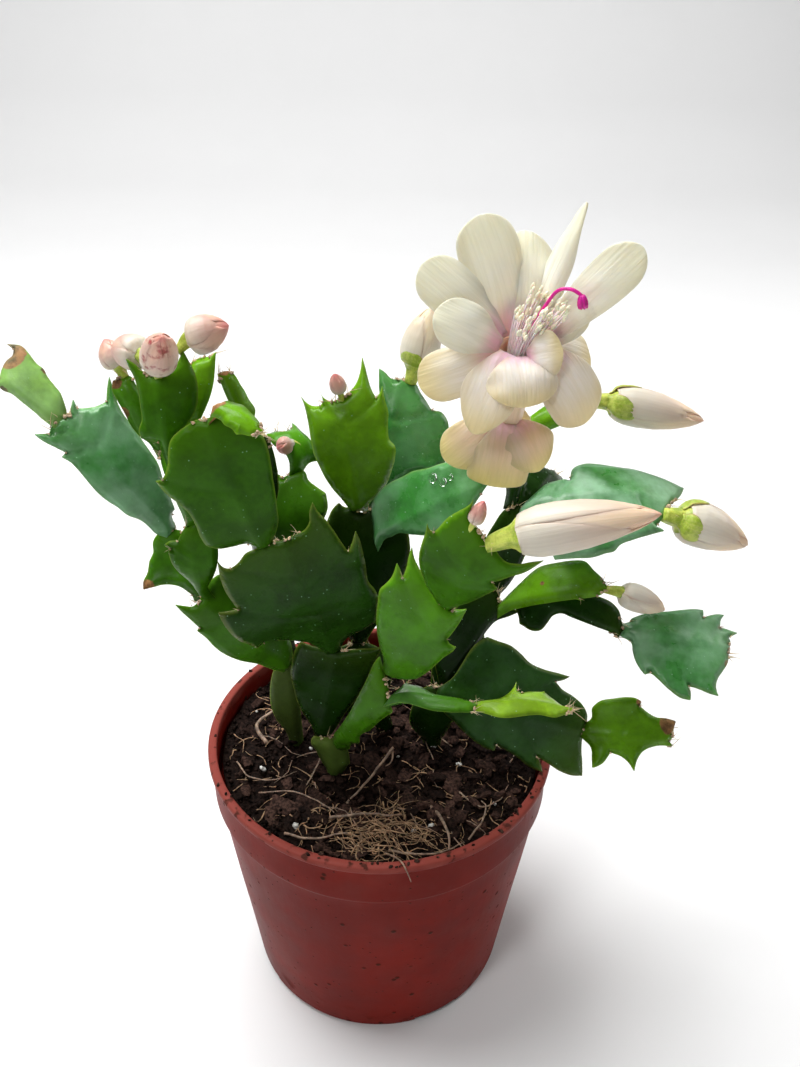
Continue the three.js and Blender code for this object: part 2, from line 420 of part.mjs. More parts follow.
    right: [0.07, 5.8, 0.09, 7.5, 0.16, 8.1, 0.24, 8, 0.29, 7.2, 0.32, 5.3, 0.35, 2.8, 0.41, 1.7,
      0.5, 1.7, 0.63, 1.7, 0.76, 1.7, 0.89, 1.7, 0.98, 2.2] },
  { name: 'segment_right_glossy', on: 'segment_right_lobed', side: 0.2, at: 0.994, tip: [83.3, -8,
    111.3], face: [0.1, -0.5, 0.86],
    left: [0.05, 2.7, 0.05, 3.3, 0.11, 4.6, 0.25, 5.7, 0.39, 6.5, 0.52, 7.4, 0.65, 8.3, 0.72, 8.5,
      0.73, 6.7, 0.81, 7.8, 0.89, 8.6, 0.95, 8.8, 0.91, 6.9, 0.91, 5.3, 0.98, 5.3, 1.1, 5.2, 1.02, 3.6,
      1.02, 2],
    right: [0.05, 2.5, 0.07, 5, 0.09, 7.4, 0.13, 9.5, 0.17, 10.7, 0.22, 10, 0.3, 11.7, 0.39, 13.6,
      0.5, 14.9, 0.61, 15, 0.61, 13.3, 0.59, 11.7, 0.68, 12, 0.78, 12.6, 0.87, 12.8, 0.85, 10.5,
      0.87, 8.3, 0.92, 6.2, 0.98, 3.3] },
  // Rear right stem, with the arched segment and the rear bud
  { name: 'stem_rear_right', root: [14, 12], tip: [22.5, 8, 106.3],
    left: [0.24, 2.7, 0.62, 5.2, 0.9, 3.7],
    right: [0.41, 8.2, 0.77, 6.8, 0.98, 4.1] },
  { name: 'segment_rear_right_lower', on: 'stem_rear_right', side: -0.1, tip: [32.2, 5, 142.8],
    left: [0.19, 2.2, 0.4, 4.2, 0.61, 4.8, 0.81, 4.1, 0.95, 2.5],
    right: [0.2, 2.8, 0.47, 5.2, 0.69, 5.8, 0.87, 5.3, 0.97, 3.2] },
  { name: 'segment_right_arched', on: 'segment_rear_right_lower', side: 0.5, lift: 1.2, at: 0.963,
    tip: [66.9, 4, 144], face: [-0.2, -0.4, 0.9], bow: 4, cup: -2.5,
    left: [0.07, 3.2, 0.15, 5.2, 0.24, 5.7, 0.31, 5.9, 0.34, 8.6, 0.41, 9.9, 0.51, 10.1, 0.65, 9.6,
      0.8, 9.4, 0.92, 8.4, 1.04, 7.8, 1.16, 7.3, 1.1, 4],
    right: [0.06, 4.4, 0.09, 8.1, 0.11, 10.9, 0.13, 13.3, 0.14, 15, 0.27, 15.2, 0.39, 15.1, 0.49, 14.2,
      0.56, 13.6, 0.59, 12.5, 0.69, 11, 0.79, 9.7, 0.92, 7.8, 0.88, 6.4, 0.93, 3.9] },
  { name: 'segment_right_rear', on: 'segment_rear_right_lower', side: 0.8, lift: -1.6, at: 0.94,
    tip: [41.5, 21, 143],
    left: [0.11, 3, 0.33, 4.7, 0.57, 4.8, 0.82, 2.8],
    right: [0.16, 1.7, 0.39, 2.7, 0.77, 3.7, 1.1, 3.3, 1.1, 1.6] },
  { name: 'segment_rear_stem', on: 'segment_rear_right_lower', side: -1.8, lift: -0.4, at: 0.96,
    tip: [31.3, 12, 156.1],
    left: [0.18, 1.8, 0.42, 2.9, 0.7, 2.6, 0.93, 1.4],
    right: [0.2, 1.7, 0.45, 2.4, 0.73, 2.3, 0.94, 1.2] },
  { name: 'segment_rear_tip', on: 'segment_rear_stem', at: 0.972, tip: [48.2, 17, 164.8],
    left: [0.22, 2.6, 0.48, 3.2, 0.75, 2.6, 0.93, 1.6],
    right: [0.04, 1.6, 0.27, 2.2, 0.53, 2.6, 0.78, 2.3, 0.96, 1.5] },
];

const grown = new Map();

// A seat on a segment's apex: side is from its midrib, lift is off its middle surface and at is a share
// of its length. A piece that sets off across the segment, with a foot of the given reach, starts that
// much further out to clear it.
function apexSeat({ on, side = 0, lift = 0, at = 1, tip }, reach) {
  const { frame, blade } = grown.get(on);
  const apex = bladePoint(frame, blade, at, side, lift);
  const heading = vector(tip).sub(apex).normalize();
  const turnedAway = Math.sqrt(1 - heading.dot(frame.along) ** 2);
  return apex.addScaledVector(heading, 1.7 * GAP).addScaledVector(frame.along, reach * turnedAway);
}

function segmentBase(row) {
  if (row.root) {
    const [x, y] = row.root;
    return new THREE.Vector3(x, y, soilHeight(x, y) + 1);
  }
  return apexSeat(row, JOINT_WIDTH / 2 + GAP);
}

// A margin's [share, distance from the midrib] pairs, from the joint to the apex.
function marginPoints(list) {
  const points = [[0, JOINT_WIDTH / 2]];
  for (let i = 0; i < list.length; i += 2) {
    points.push([list[i], list[i + 1]]);
  }
  return points;
}

// A segment's closed body, half by half. The outline of a half runs up the midrib and back down its
// margin. Its top and its underside are filled from that outline, and a wall joins them at the margin.
function segmentGeometry(frame, row) {
  const corners = [];
  const turn = MIDRIB_STATIONS.length;
  for (const [sign, list] of [[-1, row.left], [1, row.right]]) {
    const outline = [...MIDRIB_STATIONS.map((share) => [share, 0]), ...marginPoints(list).reverse()];
    const layer = (up) => outline.map(([share, out], i) => {
      const thickness = row.thick * (i < turn ? MIDRIB_THICKNESS : MARGIN_THICKNESS);
      return bladePoint(frame, row, share, sign * out, up * thickness / 2);
    });
    const top = layer(1);
    const under = layer(-1);
    const add = (a, b, c) => corners.push(...(sign < 0 ? [a, b, c] : [a, c, b]));
    const flat = outline.map(([share, out]) => new THREE.Vector2(share * frame.length, out));
    for (const [a, b, c] of THREE.ShapeUtils.triangulateShape(flat, [])) {
      add(top[a], top[b], top[c]);
      add(under[c], under[b], under[a]);
    }
    for (let i = turn - 1; i < outline.length; i += 1) {
      const next = (i + 1) % outline.length;
      add(top[i], under[i], top[next]);
      add(under[i], under[next], top[next]);
    }
  }
  return new THREE.BufferGeometry().setFromPoints(corners);
}

function segment(given) {
  const row = { ...SEGMENT_DEFAULTS, ...given };
  const frame = bladeFrame(segmentBase(row), vector(row.tip), vector(row.face));
  row.wide = 2 * Math.max(...marginPoints(row.left).map(([, out]) => out),
    ...marginPoints(row.right).map(([, out]) => out));
  grown.set(row.name, { frame, blade: row });
  return named(row.name, closed(segmentGeometry(frame, row)), material(SEGMENT_GREEN, 0.4));
}

// --- Buds -------------------------------------------------------------------------------------------

// Every bud: the segment whose apex it sits on, its tip and its greatest radius.
const BUDS = [
  { name: 'bud_left_outer', on: 'segment_left_bud_rear', side: 0.1, at: 0.988,
    tip: [-56.8, -3, 184.8], radius: 2.7 },
  { name: 'bud_left_rear', on: 'segment_left_bud_front', side: -1.3, at: 1.103,
    tip: [-53.7, -6, 184.4], radius: 3.3 },
  { name: 'bud_left_front', on: 'segment_left_bud_front', side: 0, at: 1.011,
    tip: [-38.8, -27, 194.7], radius: 3.9 },
  { name: 'bud_left_side', on: 'segment_left_bud_front', side: 4.4, at: 1.208,
    tip: [-29.4, -12, 191.6], radius: 3.5 },
  { name: 'bud_rear', on: 'segment_pale', side: 1.9, tip: [10.4, 22, 183.9], radius: 4.2 },
  { name: 'bud_rear_right', on: 'segment_rear_tip', side: 0.2, at: 0.96,
    tip: [74.8, 16, 159.9], radius: 4.2 },
  { name: 'bud_front_long', on: 'segment_front_bud', side: 0.7, at: 0.96,
    tip: [51.3, -42, 168.7], radius: 4.5 },
  { name: 'bud_right', on: 'segment_right_arched', side: 3.2, at: 0.941,
    tip: [86.1, 2, 134.7], radius: 4.9 },
  { name: 'bud_right_small', on: 'segment_right_folded', side: 0, at: 0.989,
    tip: [65.3, -11, 124.9], radius: 2.9 },
];

// A bud's radius along it, as [share of length, share of radius]: the green foot, the waist above it,
// then the furled petals, which swell and close to a blunt point.
const BUD_PROFILE = [
  [0, 0], [0, 0.3], [0.12, 0.5], [0.22, 0.52], [0.26, 0.7], [0.42, 0.97], [0.6, 1], [0.78, 0.78], [0.93, 0.4],
  [1, 0],
];

function bud(row) {
  const foot = apexSeat(row, BUD_PROFILE[1][1] * row.radius);
  const stretch = vector(row.tip).sub(foot);
  const profile = BUD_PROFILE.map(([along, out]) => [out * row.radius, along * stretch.length()]);
  const geometry = turned(profile, BUD_SIDES);
  const heading = stretch.normalize();
  geometry.applyQuaternion(new THREE.Quaternion().setFromUnitVectors(new THREE.Vector3(0, 0, 1), heading));
  geometry.translate(foot.x, foot.y, foot.z);
  return named(row.name, closed(geometry), material(BUD_PINK, 0.5));
}

// --- Flower -----------------------------------------------------------------------------------------

// The flower's own directions: its foot on the segment that bears it, its axis up the tube, its right
// and its back.
function flowerFrame() {
  const foot = apexSeat({ on: FLOWER_SEAT, at: 1.016, tip: FLOWER_THROAT }, NECK_RADIUS);
  const stretch = FLOWER_THROAT.clone().sub(foot);
  const length = stretch.length();
  const axis = stretch.divideScalar(length);
  const right = new THREE.Vector3(1, 0, 0).addScaledVector(axis, -axis.x).normalize();
  return { foot, length, axis, right, back: axis.clone().cross(right) };
}

function flowerPoint({ foot, axis, right, back }, x, y, height) {
  return foot.clone().addScaledVector(right, x).addScaledVector(back, y).addScaledVector(axis, height);
}

// Stands a geometry made about Z on the flower's foot, along its axis.
function onFlower({ foot, axis, right, back }, geometry) {
  return geometry.applyMatrix4(new THREE.Matrix4().makeBasis(right, back, axis).setPosition(foot));
}

// The tube's outer radius: the ovary's swelling at its foot, a neck, then a slow flare to the throat.
function tubeRadius(flower, height) {
  const share = height / flower.length;
  const ovary = OVARY_SWELL * Math.exp(-(((height - 4) / 3) ** 2));
  return NECK_RADIUS + ovary + (THROAT_RADIUS - NECK_RADIUS) * share * share;
}

function flowerTube(flower) {
  const stations = [0, 2, 4, 6, TUBE_HOLLOW_FROM, 13, 18, 23, 28, flower.length];
  const outside = stations.map((height) => [tubeRadius(flower, height), height]);
  const inside = outside
    .filter(([, height]) => height >= TUBE_HOLLOW_FROM)
    .map(([radius, height]) => [radius - TUBE_WALL, height])
    .reverse();
  const geometry = turned([[0, 0], ...outside, ...inside, [0, TUBE_HOLLOW_FROM]], FLOWER_SIDES);
  return named('flower_tube', closed(onFlower(flower, geometry)), material(TEPAL_CREAM, 0.5));
}

// Tepals in three whorls up the tube. around is where each grows from, in degrees about the axis (0 right,
// 90 back), and tip is in millimetres in the flower's own directions: right, back and up its axis. blunt
// shapes the end (1 pointed, 5 squared off); bow is a share of the length and cup a share of the width.
// face is the way its inner side looks, in the same directions.
const TEPAL_DEFAULTS = { widest: 0.6, blunt: 2.4, bow: 0.15, cup: -0.1, face: [0, 0, 1] };
const WHORLS = [
  { name: 'tepals_lower', height: 15, tepals: [
    { around: 215, tip: [-12.2, -5, 7.3], wide: 9.5, widest: 0.6, blunt: 3.4, face: [-0.3, -1, 0.4] },
    { around: 262, tip: [-1.8, -9, 4.4],
      wide: 12.5, widest: 0.72, blunt: 8, bow: 0.1, face: [0, -1, 0.4] },
    { around: 308, tip: [6.8, -7, 7.5], wide: 11, widest: 0.5, blunt: 1.7, face: [0.3, -1, 0.4] },
    { around: 80, tip: [1.0, 8, 5.2], wide: 10, widest: 0.6, blunt: 2.6 },
    { around: 150, tip: [-6.8, 4, 5.7], wide: 9.5, widest: 0.6, blunt: 2.6 },
  ] },
  { name: 'tepals_middle', height: 29.3, tepals: [
    { around: 196, tip: [-18.8, -4, 24.9],
      wide: 10, widest: 0.62, blunt: 3.4, bow: 0.12, face: [-0.2, -1, 0.5] },
    { around: 20, tip: [15.2, 4, 26.1], wide: 11, widest: 0.58, blunt: 2.4, face: [0.2, -0.8, 1] },
    { around: 75, tip: [8.2, 13, 17.7], wide: 11.5, widest: 0.6, blunt: 2.4 },
    { around: 135, tip: [-11.0, 9, 19.2], wide: 10.5, widest: 0.6, blunt: 2.6 },
  ] },
  { name: 'tepals_upper', height: 31.9, tepals: [
    { around: 112, tip: [-10.0, 10, 53.0],
      wide: 12, widest: 0.7, blunt: 3.4, bow: 0.1, face: [0.3, -1, 0.3] },
    { around: 84, tip: [-0.6, 13, 49.1], wide: 12, widest: 0.66, blunt: 2.4, face: [0, -1, 0.3] },
    { around: 60, tip: [9.1, 8, 57.7], wide: 6.5, widest: 0.42, blunt: 1.25, bow: 0.05, cup: -0.24 },
    { around: 22, tip: [19.3, 2, 52.9],
      wide: 8.8, widest: 0.74, blunt: 2.6, bow: 0.08, face: [-0.3, -1, 0.3] },
    { around: 150, tip: [-19.8, 4, 45.8],
      wide: 10, widest: 0.66, blunt: 3.6, bow: 0.1, face: [0.2, -1, 0.5] },
    { around: 190, tip: [-17.0, -2, 39.6],
      wide: 9.5, widest: 0.6, blunt: 3, bow: 0.16, face: [0, -1, 0.7] },
    { around: 1, tip: [11.7, 5.5, 39.6],
      wide: 8, widest: 0.6, blunt: 2.2, bow: 0.05, face: [-0.2, -1, 0.6] },
    { around: 285, tip: [6.9, -6.5, 35.8],
      wide: 8.6, widest: 0.6, blunt: 2.8, bow: 0.16, face: [0.1, -1, 0.7] },
    { around: 232, tip: [-7.9, -11, 19.2],
      wide: 10.8, widest: 0.5, blunt: 1.8, bow: 0.14, face: [-0.25, -1, 0.5] },
    { around: 262, tip: [0.5, -12.5, 26.9],
      wide: 13.5, widest: 0.55, blunt: 3.2, bow: 0.2, face: [0.1, -1, 0.6] },
    { around: 330, tip: [13.8, -7.5, 20.5],
      wide: 12.5, widest: 0.58, blunt: 2.8, bow: 0.19, face: [0.45, -1, 0.6] },
    { around: 68, tip: [4.0, 16, 40.7], wide: 9.5, widest: 0.6, blunt: 2.4, bow: 0.1 },
  ] },
];

function tepalMargin({ widest, blunt }) {
  const margin = [];
  for (let i = 0; i <= TEPAL_ROWS; i += 1) {
    const share = i / TEPAL_ROWS;
    const rise = Math.sin(Math.PI / 2 * Math.min(share / widest, 1));
    const fall = Math.max(share - widest, 0) / (1 - widest);
    const out = TEPAL_FOOT + (1 - TEPAL_FOOT) * rise;
    margin.push({ along: share, out: Math.max(out * (1 - fall ** blunt) ** 0.6, 0.08), root: share });
  }
  return margin;
}

function tepal(flower, height, row) {
  const { around, tip, wide, widest, blunt, bow, cup, face } = { ...TEPAL_DEFAULTS, ...row };
  const turn = THREE.MathUtils.degToRad(around);
  const seat = tubeRadius(flower, height) + 0.6 * COLLAR_WALL + GAP;
  const base = flowerPoint(flower, seat * Math.cos(turn), seat * Math.sin(turn), height + COLLAR_HEIGHT / 2);
  const inner = flowerPoint(flower, ...face).sub(flower.foot);
  const frame = bladeFrame(base, flowerPoint(flower, ...tip), inner);
  const blade = { wide, bow: frame.length * bow, cup: wide * cup };
  const margin = tepalMargin({ widest, blunt });
  return bladeGeometry(frame, blade, margin, margin, TEPAL_COLUMNS, TEPAL_THICKNESS, TEPAL_THICKNESS);
}

// One whorl: its tepals, grown together at their feet in a collar around the tube.
function whorl(flower, { name, height, tepals }) {
  const top = height + COLLAR_HEIGHT;
  const inner = tubeRadius(flower, top) + GAP;
  const outer = inner + COLLAR_WALL;
  const ring = [[inner, height], [outer, height], [outer, top], [inner, top], [inner, height]];
  let solid = toSolid(onFlower(flower, turned(ring, FLOWER_SIDES)));
  for (const row of tepals) {
    solid = solid.add(toSolid(tepal(flower, height, row)));
  }
  return named(name, fromSolid(solid), material(TEPAL_CREAM, 0.5));
}

// How far the stamens and the style have swung to the flower's right at a height up the axis.
function brushSwing(height) {
  return BRUSH_SWING * Math.max(0, height - BRUSH_SWINGS_FROM) ** 2;
}

// The stamens stand in the throat as one hollow brush around the style, wider at the anthers.
function stamens(flower) {
  const bore = STYLE_RADIUS + GAP;
  const foot = TUBE_HOLLOW_FROM + GAP;
  const profile = [
    [bore, foot], [1.35, foot], [1.35, 14], [1.8, 24], [2.3, 31], [3.4, 39], [3.8, 42],
    [bore, 43], [bore, 36], [bore, 30], [bore, 24], [bore, foot],
  ];
  const geometry = turned(profile, FLOWER_SIDES);
  const place = geometry.attributes.position;
  for (let i = 0; i < place.count; i += 1) {
    place.setX(i, place.getX(i) + brushSwing(place.getZ(i)));
  }
  return named('stamens', closed(onFlower(flower, geometry)), material(0xf2dccb, 0.6));
}

// The style runs up the middle of the stamens, arches out past them and ends in the stigma.
function style(flower) {
  const heights = [TUBE_HOLLOW_FROM + GAP, 16, 22, 26, 30, 34, 38, 41.5];
  const points = heights.map((height) => flowerPoint(flower, brushSwing(height), 0, height));
  points.push(
    flowerPoint(flower, 4.9, -0.6, 44.8),
    flowerPoint(flower, 7, -1.6, 45.8),
    flowerPoint(flower, 9, -2.4, 45.1),
    flowerPoint(flower, 9.4, -2.8, 44.2),
  );
  const section = new THREE.Shape().absarc(0, 0, STYLE_RADIUS, 0, 2 * Math.PI);
  const path = new THREE.CatmullRomCurve3(points);
  const shaft = new THREE.ExtrudeGeometry(section, { steps: 16, extrudePath: path, curveSegments: 3 });
  const stigma = new THREE.IcosahedronGeometry(STIGMA_RADIUS, 1);
  const end = points[points.length - 1];
  stigma.translate(end.x, end.y, end.z);
  return named('style', fromSolid(toSolid(shaft).add(toSolid(stigma))), material(0xc0187c, 0.4));
}

function flowerPieces() {
  const flower = flowerFrame();
  return [flowerTube(flower), stamens(flower), style(flower), ...WHORLS.map((row) => whorl(flower, row))];
}

const group = new THREE.Group();
group.add(pot(), soil());
group.add(...SEGMENTS.map(segment));
group.add(...BUDS.map(bud));
group.add(...flowerPieces());

export default group;
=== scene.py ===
"""A potted christmas cactus: a young plant in a nursery pot, with its buds and one open flower.

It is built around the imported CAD, in the CAD's frame: +Z up, -Y towards the camera, and the origin in
the middle of the pot's flat underside. Lengths here are millimetres; mesh_piece turns them to metres.
"""

import math
from types import SimpleNamespace

import bmesh
import bpy
import numpy as np
from bpy.props import FloatProperty, FloatVectorProperty, IntProperty, PointerProperty
from mathutils import Matrix, Vector, geometry, noise


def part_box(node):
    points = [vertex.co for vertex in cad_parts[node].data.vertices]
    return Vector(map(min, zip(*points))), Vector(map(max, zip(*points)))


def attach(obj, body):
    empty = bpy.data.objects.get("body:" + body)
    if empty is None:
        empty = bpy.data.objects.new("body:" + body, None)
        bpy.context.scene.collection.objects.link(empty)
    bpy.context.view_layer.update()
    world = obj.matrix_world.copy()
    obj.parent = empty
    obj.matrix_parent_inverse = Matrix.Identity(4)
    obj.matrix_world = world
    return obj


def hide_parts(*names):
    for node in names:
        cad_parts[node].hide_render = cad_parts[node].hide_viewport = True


bl_info = {
    "name": "Potted christmas cactus",
    "version": (1, 0, 0),
    "blender": (4, 5, 0),
    "location": "View3D > Sidebar > Cactus",
    "description": "Builds a potted christmas cactus around its packed CAD frame",
    "category": "Add Mesh",
}

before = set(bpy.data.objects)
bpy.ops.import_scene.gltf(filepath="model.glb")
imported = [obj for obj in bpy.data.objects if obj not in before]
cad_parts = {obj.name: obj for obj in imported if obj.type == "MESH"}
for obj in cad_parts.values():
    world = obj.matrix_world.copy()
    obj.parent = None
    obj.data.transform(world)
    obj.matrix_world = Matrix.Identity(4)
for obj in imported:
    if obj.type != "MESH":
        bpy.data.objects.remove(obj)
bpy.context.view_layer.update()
MM = 0.001

# Pot, as in the CAD
POT_HEIGHT = 76
RIM_RADIUS = 45
FOOT_RADIUS = 35.5
POT_WALL = 1.4
POT_FLOOR = 1.8
BAND_HEIGHT = 14
BAND_STEP = 1.1
BEAD_HEIGHT = 2.4
BEAD_OUT = 0.9
FOOT_SKIRT = 3
FOOT_CHAMFER = 1.2
DRAIN_HOLES = 6
DRAIN_HOLE_RADIUS = 4
DRAIN_RING_RADIUS = 22
FOOT_NOTCHES = 4
FOOT_NOTCH_WIDTH = 13
FOOT_NOTCH_HEIGHT = 2.2
FOOT_NOTCH_TURN = -62
POT_SIDES = 192
POT_ROUNDING = 0.7
POT_SPACING = 3.0
DRAIN_HOLE_SIDES = 40
SHARP_EDGE = math.radians(40)

# Soil
SOIL_TOP = 70.5
SOIL_RISE = 1.6
SOIL_SIDES = 160
SOIL_RINGS = 60
SOIL_LIP = 0.9
SOIL_BUMPS = ((0.9, 4.5), (0.5, 1.7), (0.3, 0.8))  # height and size of each kind
GAP = 0.35
THREAD_REACH = 40.5
HEAPED_SHARE = 0.42
LOOSE_ROOTS = 16
PERLITE_GRAINS = 18
RIM_CRUMBS = 46

# Segments: the shape of every flat joint
JOINT_WIDTH = 3.2
SHARP_TURN = math.radians(48)
AREOLE_TURN = math.radians(40)
MARGIN_SPACING = 0.33
SKIN_DEPTHS = (0.1, 0.28, 0.6)
SKIN_SPACING = 0.95
# Waves along the margins of segments and tepals: how high, and how many
RIPPLE = 0.5
RIPPLES = 1.5

# Buds
BUD_ROWS = 44
BUD_SIDES = 36
OVARY_RIBS = 5
FURL_ROWS = 26
FURL_COLUMNS = 13
FURL_FACES = (0.055, -0.033)  # where a furled petal's two faces lie, as shares of the bud's radius

# Flower
FLOWER_SEAT = SimpleNamespace(on="segment_flowering", side=0, lift=0, at=1.016)
FLOWER_THROAT = np.array((26.5, -16, 189.5))
NECK_RADIUS = 2.2
THROAT_RADIUS = 4.4
OVARY_SWELL = 1.2
OVARY_HEIGHT = 4
OVARY_REACH = 3
TUBE_WALL = 0.8
TUBE_SIDES = 48
TUBE_HOLLOW_FROM = 9
COLLAR_HEIGHT = 2
TEPAL_ROWS = 40
TEPAL_END_ROWS = 14
TEPAL_ACROSS = (0, 0.13, 0.27, 0.42, 0.56, 0.69, 0.8, 0.88, 0.94, 0.975, 0.994, 1)
TEPAL_FOOT = 0.34
FILAMENT_TOPS = (36.5, 42.5)
STYLE_HEIGHTS = (10, 16, 22, 26, 30, 34, 38, 41.5)
STYLE_END = ((4.9, -1, 44.8), (7, -1.8, 45.8), (9, -2.5, 45.1), (9.4, -2.8, 44.2))
STIGMA_LOBES = 7
BRUSH_SWING = 0.014
BRUSH_SWINGS_FROM = 26

# Finishes. Each tone of leaf has a roughness, a gloss and a share of its cells with a mineral speck.
LEAF_FINISH = {
    "fresh": (0.27, 0.16, 0.03), "mid": (0.28, 0.14, 0.05), "deep": (0.27, 0.09, 0.06),
    "blue": (0.25, 0.5, 0.10), "olive": (0.30, 0.09, 0.05), "pale": (0.36, 0.3, 0.03),
    "lime": (0.3, 0.16, 0.02), "stem": (0.5, 0.1, 0.02),
}
YOUNG_GREEN = (0.3, 0.4, 0.02)
MARGIN_GREEN = (0.42, 0.40, 0.08)
# The pale colour of the waxy dust, which also paints the sheen on segments that face up.
LEAF_BLOOM_AND_SHEEN = (0.30, 0.56, 0.34)
BUD_TIP = (0.62, 0.14, 0.16)
BUD_BLEMISH = (0.44, 0.06, 0.06)
BRISTLE = (0.62, 0.50, 0.30)
ROOT = (0.24, 0.16, 0.11)
PERLITE = (0.50, 0.49, 0.46)
FILAMENT = (0.93, 0.78, 0.78)
POLLEN = (0.93, 0.87, 0.66)

# Stage, in metres: the floor's section (how far back, how high), and each light's place, size and share of
# the key light's power
FLOOR_SECTION = ((-1.2, 0.0), (0.7, 0.0), (0.85, 0.02), (0.97, 0.09), (1.04, 0.2), (1.06, 0.35), (1.06, 1.6))
FLOOR_SIDE = 1.6
LIGHTS = (
    ("key_above", (-0.28, 0.2, 0.95), 0.7, 1),
    ("window_left", (-0.42, -0.62, 0.86), 0.26, 0.2),
    ("rim_right", (0.7, 0.4, 0.5), 0.5, 0.14),
)
LIGHTS_AIM = (0, 0, 0.12)

# Camera: where the photograph was taken from
CAMERA_AT = (4.3, -196.7, 259.9)
CAMERA_PITCH = math.radians(31.9)
CAMERA_ROLL = math.radians(1.0)
CAMERA_LENS = 33.74


# --- Settings ---------------------------------------------------------------------------------------


def colour(name, default, text):
    return FloatVectorProperty(name=name, description=text, default=default, size=3, min=0, max=1,
                               subtype="COLOR")


class PotSettings(bpy.types.PropertyGroup):
    plastic: colour("Plastic", (0.160, 0.0080, 0.0035), "Colour of the pot's wall")
    # The rim's paler colour is a painted highlight.
    rim: colour("Rim", (0.245, 0.050, 0.038), "Colour of the rim, where handling has polished and paled it")
    # This colour also paints the shade in the foot's notches.
    dirt_and_shade: colour("Dirt", (0.03, 0.014, 0.009), "Colour of the soil that is smeared on the pot")
    wall_waves: FloatProperty(name="Wall waves", description="How far the thin wall strays from round",
                              default=0.35, min=0, max=2)


class SoilSettings(bpy.types.PropertyGroup):
    peat: colour("Peat", (0.011, 0.006, 0.0045), "Colour of the damp peat")
    bark: colour("Bark", (0.030, 0.016, 0.012), "Colour of the bark chips")
    fibre: colour("Fibre", (0.31, 0.19, 0.105), "Colour of the dry fibres")
    crumbs: IntProperty(name="Crumbs", description="Number of peat crumbs", default=2600, min=0)
    chips: IntProperty(name="Chips", description="Number of bark chips", default=300, min=0)
    fibres: IntProperty(name="Fibres", description="Number of loose fibres", default=380, min=0)


class PlantSettings(bpy.types.PropertyGroup):
    fresh: colour("Fresh green", (0.12, 0.31, 0.005), "Colour of young segments")
    mid: colour("Mid green", (0.060, 0.215, 0.005), "Colour of most segments")
    deep: colour("Deep green", (0.014, 0.055, 0.0035), "Colour of old segments")
    blue: colour("Blue green", (0.030, 0.185, 0.024), "Colour of waxy segments")
    olive: colour("Olive green", (0.035, 0.13, 0.002), "Colour of old, yellowed segments")
    lime: colour("Lime green", (0.23, 0.42, 0.015), "Colour of the young tip of the front strap")
    pale: colour("Pale green", (0.21, 0.40, 0.075), "Colour of the thin segment at the far left")
    stem: colour("Stem green", (0.06, 0.1, 0.016), "Colour of the old segments at the soil")
    dry: colour("Dry brown", (0.24, 0.12, 0.045), "Colour of dried margins and scars")
    felt: colour("Felt", (0.50, 0.37, 0.24), "Colour of the felt at the areoles")
    midrib: FloatProperty(name="Midrib", description="Thickness at the midrib in millimetres",
                          default=2.3, min=0.5, max=5)
    margin: FloatProperty(name="Margin", description="Thickness near the margin in millimetres",
                          default=0.95, min=0.2, max=3)


class FlowerSettings(bpy.types.PropertyGroup):
    cream: colour("Cream", (0.94, 0.90, 0.74), "Colour of the open tepals")
    peach: colour("Peach", (0.88, 0.66, 0.44), "Colour of the lower tepals and the buds")
    salmon: colour("Salmon", (0.80, 0.34, 0.27), "Colour of the buds that are still closed")
    blush: colour("Blush", (0.86, 0.52, 0.62), "Colour of the throat")
    magenta: colour("Magenta", (0.68, 0.01, 0.30), "Colour of the style and the stigma")
    filaments: IntProperty(name="Filaments", description="Number of stamens", default=84, min=0)


class StageSettings(bpy.types.PropertyGroup):
    floor: colour("Floor", (0.86, 0.86, 0.86), "Colour of the floor")
    sky: FloatProperty(name="Sky", description="Strength of the even light", default=0.2, min=0)
    key: FloatProperty(name="Key", description="Power of the large overhead light", default=12.5,
                       min=0, unit="POWER")


# --- Shapes -----------------------------------------------------------------------------------------


def unit(vector):
    vector = np.asarray(vector, float)
    return vector / np.linalg.norm(vector)


def wander(points, size, seed=0):
    """Smooth noise from about -1 to 1 at each point, its features about size across."""
    shift = Vector((seed * 17.3, seed * 5.1, seed * 9.7))
    return np.array([noise.noise(Vector(point) / size + shift) for point in np.reshape(points, (-1, 3))])


def grid_faces(rows, columns, closed=False):
    """Quads over a grid of points, row by row. closed joins the last column to the first."""
    faces = []
    for row in range(rows - 1):
        for column in range(columns if closed else columns - 1):
            near = row * columns + column
            far = row * columns + (column + 1) % columns
            faces.append((near, far, far + columns, near + columns))
    return faces


def ringed(rings):
    """Points and faces of a closed part from its rings. One face closes each end."""
    rows, columns = rings.shape[:2]
    faces = grid_faces(rows, columns, True)
    faces.append(tuple(range(columns)))
    faces.append(tuple(range((rows - 1) * columns, rows * columns)))
    return rings.reshape(-1, 3), faces


def turned(profile, sides):
    """Rings about Z from (radius, height) pairs."""
    profile = np.asarray(profile, float)
    turn = np.linspace(0, 2 * math.pi, sides, endpoint=False)
    radius = np.maximum(profile[:, :1], 0.02)
    height = np.repeat(profile[:, 1:], sides, axis=1)
    return np.stack([radius * np.cos(turn), radius * np.sin(turn), height], axis=-1)


def rounded(profile, reach, steps=4):
    """The profile with each corner eased by a curve that starts up to reach before it."""
    profile = np.asarray(profile, float)
    eased = [profile[0]]
    for before, corner, after in zip(profile, profile[1:], profile[2:]):
        length_in = np.linalg.norm(corner - before)
        length_out = np.linalg.norm(after - corner)
        start = corner + (before - corner) * min(reach / length_in, 0.45)
        end = corner + (after - corner) * min(reach / length_out, 0.45)
        for t in np.linspace(0, 1, steps):
            eased.append((1 - t) ** 2 * start + 2 * t * (1 - t) * corner + t * t * end)
    eased.append(profile[-1])
    return np.array(eased)


